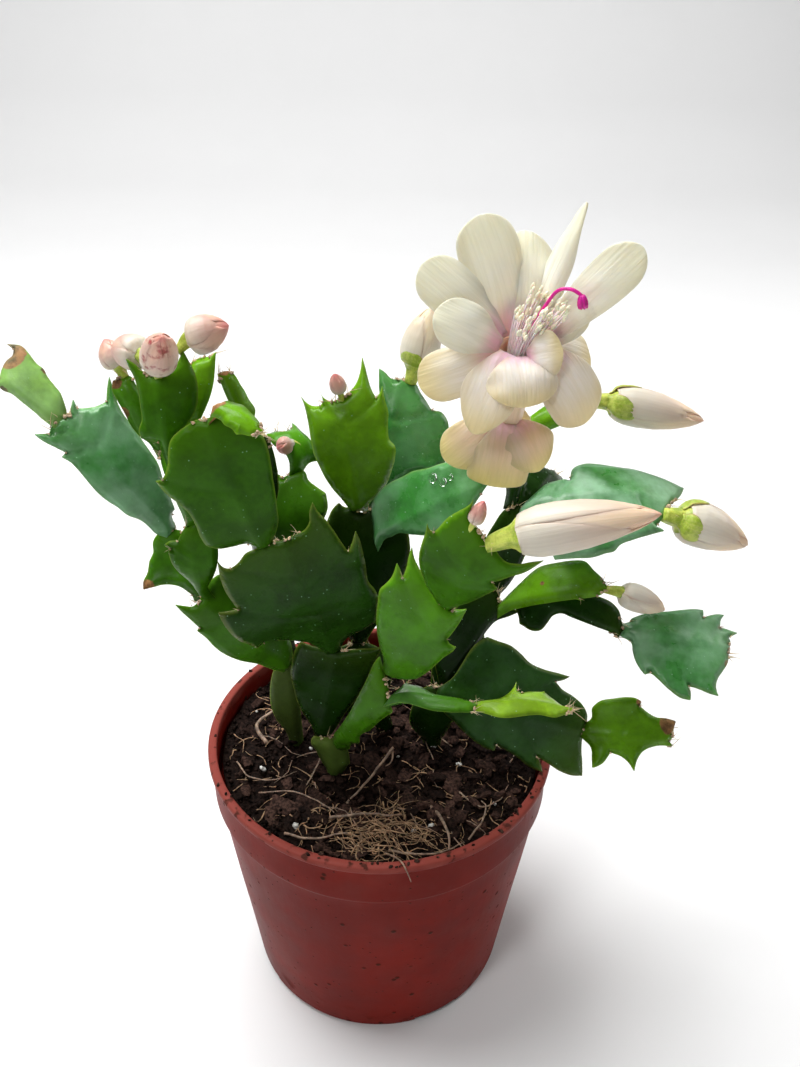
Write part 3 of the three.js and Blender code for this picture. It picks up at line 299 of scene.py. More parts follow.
def divided(path, spacing):
    """The path with its long runs divided, so that no step is longer than spacing."""
    fine = [path[0]]
    for start, end in zip(path, path[1:]):
        steps = max(1, math.ceil(np.linalg.norm(end - start) / spacing))
        fine += [start + (end - start) * (i + 1) / steps for i in range(steps)]
    return np.array(fine)


def through(points, count):
    """count points along a smooth curve through the given ones."""
    points = np.asarray(points, float)
    padded = np.vstack([2 * points[0] - points[1], points, 2 * points[-1] - points[-2]])
    curve = []
    for place in np.linspace(0, len(points) - 1, count):
        i = min(int(place), len(points) - 2)
        t = place - i
        a, b, c, d = padded[i:i + 4]
        curve.append(0.5 * (2 * b + (c - a) * t + (2 * a - 5 * b + 4 * c - d) * t * t
                            + (3 * b - a - 3 * c + d) * t ** 3))
    return np.array(curve)


def tube(path, radii, sides=6):
    """Points and faces of a closed tube along a path."""
    path = np.asarray(path, float)
    radii = np.broadcast_to(radii, len(path))
    turn = np.linspace(0, 2 * math.pi, sides, endpoint=False)
    tangents = np.gradient(path, axis=0)
    normal = (0.31, 0.17, 0.93) if abs(unit(tangents[0])[2]) < 0.8 else (0.95, 0.2, 0.1)
    rings = []
    for point, tangent, radius in zip(path, tangents, radii):
        tangent = unit(tangent)
        normal = unit(normal - tangent * np.dot(normal, tangent))
        second = np.cross(tangent, normal)
        rings.append(point + radius * (np.outer(np.cos(turn), normal) + np.outer(np.sin(turn), second)))
    return ringed(np.array(rings))


def along_axis(points, foot, axis, right=None):
    """Points made about Z, stood on foot with Z turned to axis."""
    axis = unit(axis)
    if right is None:
        right = np.cross((0, 1, 0), axis) if abs(axis[1]) < 0.9 else np.cross((0, 0, 1), axis)
    right = unit(right - axis * np.dot(right, axis))
    back = np.cross(axis, right)
    return foot + np.asarray(points) @ np.array([right, back, axis])


BALLS = {}


def ball(level):
    """Points and faces of a unit ball of triangles."""
    if level not in BALLS:
        made = bmesh.new()
        bmesh.ops.create_icosphere(made, subdivisions=level, radius=1)
        made.verts.ensure_lookup_table()
        BALLS[level] = (np.array([vert.co for vert in made.verts]),
                        [tuple(vert.index for vert in face.verts) for face in made.faces])
        made.free()
    return BALLS[level]


def lump(draw, place, size, level=1, rough=0.3):
    """A rough grain at place: a ball drawn out to size (three lengths) and turned at random."""
    points, faces = ball(level)
    points = points * (1 + rough * (draw.random(len(points))[:, None] - 0.5)) * size / 2
    angle = draw.uniform(0, 2 * math.pi)
    turn = np.array(Matrix.Rotation(angle, 3, Vector(draw.normal(size=3)).normalized()))
    return points @ turn + place, faces


class Shape:
    """The points, faces and per-point values of one piece, gathered part by part."""

    def __init__(self, *values):
        self.points, self.faces = [], []
        self.values = {name: [] for name in values}
        self.count = 0

    def add(self, part, **values):
        points, faces = part
        self.points.append(points)
        self.faces.extend(tuple(i + self.count for i in face) for face in faces)
        for name, store in self.values.items():
            store.append(np.broadcast_to(values[name], len(points)))
        self.count += len(points)


def mesh_piece(name, shape, material, slot, *nodes, sharp=None):
    """A Blender object from a shape. It rides on the root and stands for the CAD nodes named."""
    mesh = bpy.data.meshes.new(name)
    mesh.from_pydata((np.concatenate(shape.points) * MM).tolist(), [], shape.faces)
    faces_out = bmesh.new()
    faces_out.from_mesh(mesh)
    bmesh.ops.recalc_face_normals(faces_out, faces=faces_out.faces)
    faces_out.to_mesh(mesh)
    faces_out.free()
    for key, parts in shape.values.items():
        values = np.concatenate(parts).astype(np.float32)
        mesh.attributes.new(key, "FLOAT", "POINT").data.foreach_set("value", values)
    mesh.shade_smooth()
    if sharp:
        mesh.set_sharp_from_angle(angle=math.radians(sharp))
    mesh.materials.append(material)
    piece = bpy.data.objects.new(name, mesh)
    bpy.context.scene.collection.objects.link(piece)
    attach(piece, "root")
    if nodes:
        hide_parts(*nodes)
    return piece


# --- Nodes ------------------------------------------------------------------------------------------


class Graph:
    """A node tree that is built from short calls."""

    def __init__(self, tree):
        self.tree = tree
        tree.nodes.clear()

    def add(self, kind, inputs=None, **settings):
        node = self.tree.nodes.new("ShaderNode" + kind)
        for name, value in settings.items():
            setattr(node, name, value)
        for name, value in (inputs or {}).items():
            self.feed(node.inputs[name], value)
        return node

    def feed(self, socket, value):
        if isinstance(value, bpy.types.NodeSocket):
            self.tree.links.new(value, socket)
        elif isinstance(value, tuple) and len(value) == 3 and socket.type == "RGBA":
            socket.default_value = (*value, 1)
        else:
            socket.default_value = value

    def mix(self, factor, first, second, blend="MIX"):
        node = self.add("Mix", data_type="RGBA", blend_type=blend)
        for index, value in ((0, factor), (6, first), (7, second)):
            self.feed(node.inputs[index], value)
        return node.outputs[2]

    def mask(self, value, low, high):
        """0 where value is at low or past it, 1 at high, with a soft step between."""
        inputs = {"Value": value, "From Min": low, "From Max": high}
        return self.add("MapRange", inputs, interpolation_type="SMOOTHSTEP").outputs["Result"]

    def math(self, operation, first, second):
        return self.add("Math", {0: first, 1: second}, operation=operation).outputs[0]

    def times(self, first, second):
        return self.math("MULTIPLY", first, second)

    def plus(self, first, second):
        return self.math("ADD", first, second)

    def larger(self, first, second):
        return self.math("MAXIMUM", first, second)

    def noise(self, scale, detail=2.0, vector=None, rough=0.5):
        inputs = {"Scale": scale, "Detail": detail, "Roughness": rough, "Vector": vector or self.place()}
        return self.add("TexNoise", inputs).outputs["Fac"]

    def place(self):
        return self.add("TexCoord").outputs["Object"]

    def value(self, name):
        return self.add("Attribute", attribute_name=name).outputs["Fac"]

    def mottled(self, scale, dark, light):
        inputs = {"Scale": scale, "Dark": dark, "Light": light}
        return self.add("Group", inputs, node_tree=mottle_group()).outputs["Color"]

    def speckled(self, scale, share, size):
        inputs = {"Scale": scale, "Share": share, "Size": size}
        return self.add("Group", inputs, node_tree=specks_group()).outputs["Mask"]

    def grained(self, scale):
        return self.add("Group", {"Scale": scale}, node_tree=grain_group()).outputs["Height"]

    def veined(self, count):
        return self.add("Group", {"Count": count}, node_tree=veins_group()).outputs

    def bump(self, height, strength, distance):
        inputs = {"Height": height, "Strength": strength, "Distance": distance}
        return self.add("Bump", inputs).outputs["Normal"]


def effect(name, inputs, outputs, build):
    """The node group of that name, built once: build(graph, given) returns its output sockets."""
    group = bpy.data.node_groups.get(name)
    if group:
        return group
    group = bpy.data.node_groups.new(name, "ShaderNodeTree")
    kinds = {float: "NodeSocketFloat", tuple: "NodeSocketColor"}
    for label, value in inputs.items():
        socket = group.interface.new_socket(label, in_out="INPUT", socket_type=kinds[type(value)])
        socket.default_value = (*value, 1) if isinstance(value, tuple) else value
    for label, kind in outputs.items():
        group.interface.new_socket(label, in_out="OUTPUT", socket_type=kinds[kind])
    graph = Graph(group)
    given = group.nodes.new("NodeGroupInput").outputs
    result = group.nodes.new("NodeGroupOutput").inputs
    for label, socket in build(graph, given).items():
        graph.feed(result[label], socket)
    return group


def mottle_group():
    """Two colours mixed in soft patches, with finer flecks inside them."""
    def build(graph, given):
        patches = graph.noise(given["Scale"], 3.0)
        flecks = graph.noise(graph.times(given["Scale"], 7.0), 2.0)
        both = graph.plus(graph.times(patches, 0.75), graph.times(flecks, 0.25))
        return {"Color": graph.mix(graph.mask(both, 0.36, 0.64), given["Dark"], given["Light"])}
    return effect("Mottle", {"Scale": 100.0, "Dark": (0.0, 0.0, 0.0), "Light": (1.0, 1.0, 1.0)},
                  {"Color": tuple}, build)


def specks_group():
    """Small scattered dots: Share of the cells holds one, and Size is its radius in cells."""
    def build(graph, given):
        cells = graph.add("TexVoronoi", {"Scale": given["Scale"], "Vector": graph.place()})
        chosen = graph.add("SeparateColor", {"Color": cells.outputs["Color"]}).outputs["Red"]
        there = graph.math("LESS_THAN", chosen, given["Share"])
        dot = graph.mask(cells.outputs["Distance"], given["Size"], graph.times(given["Size"], 0.4))
        return {"Mask": graph.times(there, dot)}
    return effect("Specks", {"Scale": 900.0, "Share": 0.1, "Size": 0.3}, {"Mask": float}, build)


def grain_group():
    """A height from fine noise over coarser noise."""
    def build(graph, given):
        fine = graph.noise(given["Scale"], 3.0, rough=0.6)
        coarse = graph.noise(graph.times(given["Scale"], 0.18), 2.0)
        return {"Height": graph.plus(graph.times(fine, 0.4), graph.times(coarse, 0.6))}
    return effect("Grain", {"Scale": 2000.0}, {"Height": float}, build)


def veins_group():
    """Fine lines that run the length of a petal, from its across and reach values."""
    def build(graph, given):
        across = graph.times(graph.value("across"), given["Count"])
        reach = graph.times(graph.value("reach"), 1.5)
        vector = graph.add("CombineXYZ", {"X": across, "Y": reach}).outputs["Vector"]
        lines = graph.noise(1.0, 2.0, vector)
        return {"Height": lines, "Mask": graph.mask(lines, 0.42, 0.62)}
    return effect("Petal Veins", {"Count": 2.0}, {"Height": float, "Mask": float}, build)


def finish(name, build, **shine):
    """The material of that name, made once. build(graph, surface) links its pattern to the surface."""
    material = bpy.data.materials.get(name)
    if material:
        return material
    material = bpy.data.materials.new(name)
    material.use_nodes = True
    graph = Graph(material.node_tree)
    surface = graph.add("BsdfPrincipled")
    for label, value in shine.items():
        graph.feed(surface.inputs[label.replace("_", " ")], value)
    build(graph, surface.inputs)
    graph.feed(graph.add("OutputMaterial").inputs["Surface"], surface.outputs["BSDF"])
    return material


def tinted(hue, by):
    """A colour made lighter or darker."""
    return tuple(min(1.0, channel * by) for channel in hue)


def blended(first, second, share):
    return tuple(a + (b - a) * share for a, b in zip(first, second))


# --- Materials --------------------------------------------------------------------------------------


def leaf_material(tone):
    """Segment tissue: mottled green, a paler margin, painted shade, dry patches, mineral specks, a pale waxy
    dust that is also painted sheen, and a waxy gloss.
    """
    plant = bpy.context.scene.cactus_plant
    hue, dry = tuple(getattr(plant, tone)), tuple(plant.dry)
    rough, gloss, specked = LEAF_FINISH[tone]

    def build(graph, surface):
        reach = graph.value("reach")
        tissue = graph.mottled(120.0, tinted(hue, 0.72), tinted(hue, 1.22))
        foot = graph.mask(reach, 0.3, 0.0)
        tissue = graph.mix(graph.times(foot, 0.4), tissue, tinted(hue, 0.5))
        young = graph.mask(reach, 0.6, 1.1)
        tissue = graph.mix(graph.times(young, 0.35), tissue, blended(tinted(hue, 1.5), YOUNG_GREEN, 0.2))
        tissue = graph.mix(graph.times(graph.value("vein"), 0.3), tissue, tinted(hue, 0.6))
        # Painted shade: segments that sit in shadow inside the plant are painted darker.
        tissue = graph.mix(graph.times(graph.value("shade"), 0.85), tissue, tinted(hue, 0.12))
        edge = graph.mask(graph.value("edge"), 0.93, 0.998)
        tissue = graph.mix(graph.times(edge, 0.6), tissue, blended(tinted(hue, 1.5), MARGIN_GREEN, 0.3))
        blotch = graph.noise(420.0, 3.0)
        worn = graph.mask(graph.plus(graph.value("dry"), graph.times(blotch, 0.6)), 0.74, 0.9)
        tissue = graph.mix(worn, tissue, graph.mottled(500.0, tinted(dry, 0.45), tinted(dry, 1.5)))
        specks = graph.speckled(1300.0, specked, 0.24)
        # A pale waxy dust over the segments, which is also a painted sheen on those that face up; the mineral
        # specks join it.
        film = graph.mask(graph.noise(90.0, 4.0, rough=0.6), 0.3, 0.72)
        bloom_and_sheen = graph.times(graph.value("dust"), film)
        white = graph.larger(graph.times(specks, 0.8), graph.times(bloom_and_sheen, 0.7))
        graph.feed(surface["Base Color"], graph.mix(white, tissue, LEAF_BLOOM_AND_SHEEN))
        sheen = graph.plus(rough - 0.06, graph.times(graph.noise(350.0, 2.0), 0.14))
        sheen = graph.plus(sheen, graph.times(graph.larger(worn, white), 0.35))
        graph.feed(surface["Roughness"], sheen)
        relief = graph.plus(graph.grained(2600.0), graph.times(specks, 0.5))
        graph.feed(surface["Normal"], graph.bump(relief, 0.3, 0.0003))

    return finish("tissue_" + tone, build, Subsurface_Weight=0.08, Subsurface_Scale=0.0015,
                  Subsurface_Radius=(0.4, 1.0, 0.15), Specular_IOR_Level=gloss)


def petal_material(kind):
    """Tepal tissue: cream to yellow with fine veins, blushing towards the throat, with painted shade at the
    margins.
    """
    flower = bpy.context.scene.cactus_flower
    cream, peach, blush = tuple(flower.cream), tuple(flower.peach), tuple(flower.blush)
    body, tip = {"upper": (cream, blended(cream, (0.72, 0.68, 0.36), 0.35)),
                 "middle": (blended(cream, blush, 0.22), blended(peach, (0.80, 0.68, 0.22), 0.4)),
                 "lower": (blended(peach, blush, 0.2), blended(peach, (0.70, 0.58, 0.14), 0.7))}[kind]

    def build(graph, surface):
        reach, veins = graph.value("reach"), graph.veined(1.6)
        hue = graph.mix(graph.mask(reach, 0.45, 1.0), body, tip)
        hue = graph.mix(graph.mask(reach, 0.38, 0.02), hue, blush)
        hue = graph.mix(graph.times(veins["Mask"], 0.16), hue, tinted(tip, 0.72))
        # Painted shade: the margins are painted greyer, as if less light came through them than through the
        # middle.
        edge = graph.mask(graph.value("edge"), 0.4, 1.0)
        hue = graph.mix(graph.times(edge, 0.55), hue, tinted(tip, 0.62))
        graph.feed(surface["Base Color"], hue)
        graph.feed(surface["Roughness"], graph.plus(0.3, graph.times(graph.noise(300.0, 2.0), 0.2)))
        graph.feed(surface["Normal"], graph.bump(veins["Height"], 0.5, 0.0004))

    return finish("petal_" + kind, build, Subsurface_Weight=0.45, Subsurface_Scale=0.003,
                  Subsurface_Radius=(1.0, 0.75, 0.5), Specular_IOR_Level=0.45, Sheen_Weight=0.15)


def bud_material():
    """Furled petals: a green foot, cream to salmon sides and pink tips, with a few red blemishes."""
    flower = bpy.context.scene.cactus_flower
    cream, peach, salmon = tuple(flower.cream), tuple(flower.peach), tuple(flower.salmon)

    def build(graph, surface):
        reach, pink, veins = graph.value("reach"), graph.value("pink"), graph.veined(2.2)
        hue = graph.mix(graph.mask(reach, 0.35, 0.9), blended(cream, peach, 0.5), peach)
        hue = graph.mix(graph.times(pink, graph.mask(reach, 0.1, 0.7)), hue, salmon)
        patches = graph.noise(260.0, 3.0)
        ripe = graph.plus(graph.plus(reach, graph.times(patches, 0.3)), graph.times(pink, 0.3))
        hue = graph.mix(graph.mask(ripe, 1.08, 1.5), hue, BUD_TIP)
        lime = graph.mottled(400.0, (0.26, 0.38, 0.02), (0.60, 0.68, 0.12))
        hue = graph.mix(graph.mask(graph.value("green"), 0.1, 0.9), hue, lime)
        edge = graph.mask(graph.value("edge"), 0.8, 1.0)
        hue = graph.mix(graph.times(edge, 0.35), hue, tinted(salmon, 0.9))
        hue = graph.mix(graph.times(veins["Mask"], 0.12), hue, tinted(peach, 0.7))
        spots = graph.times(graph.mask(graph.noise(480.0, 4.0), 0.5, 0.68), graph.value("blemish"))
        graph.feed(surface["Base Color"], graph.mix(spots, hue, BUD_BLEMISH))
        graph.feed(surface["Roughness"], graph.plus(0.28, graph.times(patches, 0.25)))
        graph.feed(surface["Normal"], graph.bump(veins["Height"], 0.3, 0.0003))

    return finish("bud_skin", build, Subsurface_Weight=0.35, Subsurface_Scale=0.002,
                  Subsurface_Radius=(1.0, 0.55, 0.35), Specular_IOR_Level=0.4)


def thread_material(name, hue, spread, rough, glow=0.1):
    """Small plain parts, mottled along their length: filaments, felt, bristles, roots and the like."""
    def build(graph, surface):
        tissue = graph.mottled(900.0, tinted(hue, 1 - spread), tinted(hue, 1 + spread))
        graph.feed(surface["Base Color"], tissue)
        patches = graph.times(graph.noise(1500.0, 2.0), 0.2)
        graph.feed(surface["Roughness"], graph.plus(rough - 0.1, patches))
        graph.feed(surface["Normal"], graph.bump(graph.grained(5000.0), 0.3, 0.0002))

    return finish(name, build, Subsurface_Weight=glow, Subsurface_Scale=0.001)


def litter_material(name, hue, rough=0.9):
    """Peat, bark and perlite: each grain has its own tint."""
    def build(graph, surface):
        grain = graph.mottled(1400.0, tinted(hue, 0.35), tinted(hue, 1.9))
        tint = graph.value("tint")
        tint = graph.add("CombineColor", {"Red": tint, "Green": tint, "Blue": tint}).outputs["Color"]
        graph.feed(surface["Base Color"], graph.mix(1.0, grain, tint, "MULTIPLY"))
        damp = graph.times(graph.noise(300.0, 2.0), 0.4)
        graph.feed(surface["Roughness"], graph.math("SUBTRACT", rough, damp))
        graph.feed(surface["Normal"], graph.bump(graph.grained(3000.0), 0.9, 0.0006))

    return finish(name, build, Specular_IOR_Level=0.05)


def pot_material():
    """Thin moulded plastic: cloudy red brown, a rim painted paler as a highlight, scuffs, splashes of dried
    soil, and dark notches in the foot that are partly soil and partly painted shade.
    """
    pot = bpy.context.scene.cactus_pot
    plastic, rim, dirt_and_shade = tuple(pot.plastic), tuple(pot.rim), tuple(pot.dirt_and_shade)
    band_foot = POT_HEIGHT - BAND_HEIGHT

    def build(graph, surface):
        place = graph.place()
        height = graph.add("SeparateXYZ", {"Vector": place}).outputs["Z"]
        wall = graph.mottled(22.0, tinted(plastic, 0.8), tinted(plastic, 1.2))
        # Painted highlight: the rim is painted in its paler colour, and the band a little towards it.
        rim_highlight = graph.mask(graph.plus(height, graph.times(graph.noise(160.0), 0.004)),
                               (POT_HEIGHT - 1.2) * MM, (POT_HEIGHT + 1.6) * MM)
        wall = graph.mix(rim_highlight, wall, rim)
        band = graph.mask(height, (band_foot - 4) * MM, (band_foot + 6) * MM)
        wall = graph.mix(graph.times(band, 0.05), wall, rim)
        film = graph.times(graph.mask(graph.noise(60.0, 5.0, rough=0.7), 0.5, 0.8), 0.07)
        wall = graph.mix(film, wall, blended(plastic, (0.5, 0.42, 0.36), 0.35))
        splashes = graph.larger(graph.speckled(230.0, 0.34, 0.2), graph.speckled(620.0, 0.2, 0.22))
        near_foot = graph.times(graph.mask(height, 0.012, 0.0),
                                graph.mask(graph.noise(140.0, 4.0), 0.52, 0.7))
        near_rim = graph.times(graph.mask(height, 0.07, 0.077),
                               graph.mask(graph.noise(330.0, 5.0), 0.56, 0.66))
        flat = graph.add("VectorMath", {0: place, 1: (1.0, 1.0, 0.0)}, operation="MULTIPLY")
        inward = graph.add("VectorMath", {0: flat.outputs["Vector"]}, operation="LENGTH")
        # Inside the foot's notches the plastic is painted dark: partly soil caught there, partly painted
        # shade in the recess.
        notch_dirt_and_shade = graph.times(
            graph.mask(inward.outputs["Value"], (FOOT_RADIUS - 1.0) * MM, (FOOT_RADIUS - 2.0) * MM),
            graph.mask(height, 0.0026, 0.0022))
        dirt_and_shade_mask = graph.larger(splashes, graph.larger(graph.larger(near_foot, notch_dirt_and_shade), near_rim))
        graph.feed(surface["Base Color"], graph.mix(graph.times(dirt_and_shade_mask, 0.85), wall, dirt_and_shade))
        rough = graph.plus(0.34, graph.times(graph.noise(90.0, 4.0), 0.2))
        graph.feed(surface["Roughness"], graph.plus(rough, graph.times(dirt_and_shade_mask, 0.4)))
        flow = graph.add("Mapping", {"Vector": place, "Scale": (1.0, 1.0, 0.12)}).outputs["Vector"]
        streaks = graph.times(graph.noise(500.0, 3.0, flow), 0.5)
        relief = graph.plus(streaks, graph.times(graph.grained(1500.0), 0.4))
        relief = graph.plus(relief, graph.times(dirt_and_shade_mask, 1.2))
        graph.feed(surface["Normal"], graph.bump(relief, 0.3, 0.0004))

    return finish("moulded_plastic", build, Specular_IOR_Level=0.06, Subsurface_Weight=0.03,
                  Subsurface_Scale=0.001)


# --- Pot and soil -----------------------------------------------------------------------------------


def wall_radius(height):
    """The pot's outer radius at a height below its band."""
    share = height / (POT_HEIGHT - BAND_HEIGHT)
    return FOOT_RADIUS + share * (RIM_RADIUS - BEAD_OUT - BAND_STEP - FOOT_RADIUS)


def soil_height(x, y):
    """The soil's height: a low mound that dips towards the wall, with a few lumps."""
    reach = np.hypot(x, y) / RIM_RADIUS
    lumps = np.sin(x / 5.1 + 1.3) * np.cos(y / 6.3) + 0.5 * np.sin((x + y) / 3.4)
    return SOIL_TOP + SOIL_RISE * (1 - reach * reach) + 0.5 * lumps


def cut(piece, cutters):
    """Takes the closed parts of the shape cutters out of the piece."""
    mesh = bpy.data.meshes.new("cutters")
    mesh.from_pydata((np.concatenate(cutters.points) * MM).tolist(), [], cutters.faces)
    tool = bpy.data.objects.new("cutters", mesh)
    bpy.context.scene.collection.objects.link(tool)
    step = piece.modifiers.new("cut", "BOOLEAN")
    step.operation, step.solver, step.object = "DIFFERENCE", "EXACT", tool
    bpy.context.view_layer.update()
    whole = piece.evaluated_get(bpy.context.evaluated_depsgraph_get())
    result = bpy.data.meshes.new_from_object(whole)
    piece.modifiers.clear()
    piece.data = result
    bpy.data.objects.remove(tool)


def pot_profile():
    """The section of the pot, from the middle of its underside round to the middle of its floor."""
    band, bead = POT_HEIGHT - BAND_HEIGHT, POT_HEIGHT - BEAD_HEIGHT
    under_band = wall_radius(band)
    return [
        (0, 0), (FOOT_RADIUS - FOOT_CHAMFER, 0), (FOOT_RADIUS, FOOT_CHAMFER), (under_band, band),
        (under_band + BAND_STEP, band + BAND_STEP), (RIM_RADIUS - BEAD_OUT, bead),
        (RIM_RADIUS, bead + BEAD_OUT / 2), (RIM_RADIUS, POT_HEIGHT - BEAD_OUT / 2),
        (RIM_RADIUS - BEAD_OUT / 2, POT_HEIGHT), (RIM_RADIUS - BEAD_OUT - POT_WALL, POT_HEIGHT),
        (under_band + BAND_STEP - POT_WALL, band + BAND_STEP), (under_band - POT_WALL, band),
        (wall_radius(POT_FLOOR) - POT_WALL, POT_FLOOR), (0, POT_FLOOR),
    ]


def pot_openings():
    """The drain holes and the notches of the foot, as closed parts to cut out."""
    cutters = Shape()
    for hole in range(DRAIN_HOLES):
        turn = (hole + 0.5) * 2 * math.pi / DRAIN_HOLES
        centre = (DRAIN_RING_RADIUS * math.cos(turn), DRAIN_RING_RADIUS * math.sin(turn), 0)
        rings = turned([(DRAIN_HOLE_RADIUS, -POT_FLOOR), (DRAIN_HOLE_RADIUS, 2 * POT_FLOOR)],
                       DRAIN_HOLE_SIDES)
        cutters.add(ringed(rings + centre))
    for notch in range(FOOT_NOTCHES):
        turn = math.radians(FOOT_NOTCH_TURN) + notch * 2 * math.pi / FOOT_NOTCHES
        out = np.array((math.cos(turn), math.sin(turn), 0))
        side = np.array((-math.sin(turn), math.cos(turn), 0))
        ring = np.array([out * (FOOT_RADIUS + a * FOOT_SKIRT) + side * b * FOOT_NOTCH_WIDTH / 2
                         for a, b in ((-1, -1), (1, -1), (1, 1), (-1, 1))])
        cutters.add(ringed(np.array([ring - (0, 0, 2), ring + (0, 0, FOOT_NOTCH_HEIGHT)])))
    return cutters


def build_pot():
    """The pot's section turned about Z, its wall strayed a little from round, and its openings cut."""
    rings = turned(divided(rounded(pot_profile(), POT_ROUNDING), POT_SPACING), POT_SIDES)
    flat = rings.reshape(-1, 3)
    outward = flat * (1, 1, 0) / np.maximum(np.hypot(flat[:, 0], flat[:, 1]), 1)[:, None]
    high = np.clip(flat[:, 2] / POT_HEIGHT, 0, 1)
    waves = wander(outward * 10 + flat * (0, 0, 0.25), 9, 3) * bpy.context.scene.cactus_pot.wall_waves
    stray = waves * np.sin(math.pi * np.clip(high, 0.05, 1)) - 0.05 * high
    shape = Shape()
    shape.add(ringed((flat + outward * stray[:, None]).reshape(rings.shape)))
    piece = mesh_piece("pot_shell", shape, pot_material(), "pot", "pot")
    cut(piece, pot_openings())
    piece.data.set_sharp_from_angle(angle=SHARP_EDGE)


def build_soil():
    """The peat that fills the pot, with a rough surface."""
    clear = POT_WALL + GAP
    floor = POT_FLOOR + GAP
    top = wall_radius(SOIL_TOP - BAND_HEIGHT) - clear
    wall = [(0.3, floor), (wall_radius(floor) - clear, floor), (top, SOIL_TOP - 12),
            (top + SOIL_LIP, SOIL_TOP - 1)]
    surface = [((top + SOIL_LIP) * (1 - i / SOIL_RINGS), SOIL_TOP) for i in range(SOIL_RINGS + 1)]
    rings = turned(np.vstack([wall, surface]), SOIL_SIDES)
    flat = rings.reshape(-1, 3)
    above = flat[:, 2] > SOIL_TOP - 0.5
    ground = flat[above]
    ground[:, 2] = soil_height(ground[:, 0], ground[:, 1])
    ground[:, 2] += sum(height * wander(ground, size, seed)
                        for seed, (height, size) in enumerate(SOIL_BUMPS, 1))
    flat[above] = ground
    shape = Shape("tint")
    shape.add(ringed(flat.reshape(rings.shape)), tint=0.8)
    peat = litter_material("peat", tuple(bpy.context.scene.cactus_soil.peat))
    mesh_piece("soil_bed", shape, peat, "soil", "soil")


def on_soil(x, y, above):
    """The point that lies above millimetres over the soil at x, y."""
    return np.array((x, y, soil_height(x, y) + above))


def scattered(draw, reach):
    """A random place on the soil, up to reach from its middle."""
    turn = draw.uniform(0, 2 * math.pi)
    out = reach * math.sqrt(draw.random())
    return out * math.cos(turn), out * math.sin(turn)


def loose_thread(draw, x, y, length, lift=1.0, turn=None):
    """A path that wanders over the soil from x, y."""
    turn = draw.uniform(0, 2 * math.pi) if turn is None else turn
    points = []
    for _ in range(5):
        points.append(on_soil(x, y, 0.3 + lift * draw.uniform(0.1, 1)))
        turn += draw.uniform(-0.8, 0.8)
        x += math.cos(turn) * length / 4
        y += math.sin(turn) * length / 4
        out = math.hypot(x, y)
        if out > THREAD_REACH:
            x, y = x * THREAD_REACH / out, y * THREAD_REACH / out
    return through(points, 9)


# The pale roots and twigs that stand out on the soil: (x, y, height over it) along each, and thickness
ROOTS = (
    ([(3.5, -9, 7), (1.2, -12, 5.5), (-4, -18.5, 2.6), (-7.6, -22, 1), (-9.5, -25.5, 0.6)], 0.42),
    ([(3.3, -9, 7), (3.2, -11.4, 4.6), (1.6, -12.2, 3.4)], 0.3),
    ([(-7.6, -22, 1), (-6.5, -25, 1.3), (-4.6, -28, 0.8)], 0.34),
    ([(-22.2, -31.6, 1.2), (-15, -33.4, 1.8), (-8, -32.2, 1.9), (-3.2, -33, 0.9)], 0.36),
    ([(-11.5, -27.7, 1.6), (-3, -26.8, 2.8), (2, -26.8, 2.4), (6.2, -26, 1.6)], 0.42),
    ([(-30, -18, 0.8), (-21, -19.5, 1.6), (-13, -24, 1.4), (-8, -28, 0.7)], 0.24),
    ([(13, -23, 0.7), (15, -27, 2.2), (17, -32, 2.8), (17.2, -35.5, 0.9)], 0.5),
    ([(-30, -2, 0.8), (-33, 3, 3), (-28.8, 7, 4.6), (-27.2, 9.5, 5)], 0.6),
    ([(-14, -6, 6), (-15.8, -12, 3), (-18.5, -18, 0.9)], 0.28),
    ([(20, -18, 0.7), (25, -23, 1.8), (30, -20, 1.4), (33, -14, 0.7)], 0.25),
    ([(22, -32, 0.7), (25, -29, 3.4), (26.4, -25, 3.6), (25.4, -22, 2.6)], 0.3),
    ([(3, -36.5, 1), (9, -37.6, 1.8), (15.5, -36.4, 1.6), (21, -33, 0.9)], 0.34),
    ([(-37, -8, 1), (-33, -14, 2.2), (-27, -15, 1.6), (-21, -12, 1)], 0.24),
    ([(-2, 12, 0.8), (8, 16, 2.2), (15, 24, 1.8), (12, 31, 0.8)], 0.3),
    ([(-20, 22, 0.8), (-12, 27, 2.4), (-3, 28, 1.6), (4, 34, 0.8)], 0.34),
    ([(30, 14, 0.9), (33, 6, 2.6), (36, -2, 1.8), (33, -9, 0.8)], 0.36),
)
# The one strand that hangs over the rim, and the grains of perlite that lie in the open
RIM_STRAND = [(2, -37.5, 72.6), (4.5, -41, 75.4), (6.2, -44, 76.9), (7.6, -45.6, 74.8), (8.2, -45.7, 72.8)]
PERLITE_PLACES = ((8.9, -30.3), (-19.6, -29.1), (-29.8, -10.8), (13, -29))


def peat_crumbs(draw, soil):
    shape = Shape("tint")
    for _ in range(soil.crumbs):
        size = draw.uniform(0.6, 1.3) * draw.uniform(0.7, 1.5)
        at = on_soil(*scattered(draw, 41.0), draw.uniform(0, 1.1))
        shape.add(lump(draw, at, (size, size * 0.8, size * 0.7), 1, 0.6), tint=draw.uniform(0.4, 1.5))
    return shape


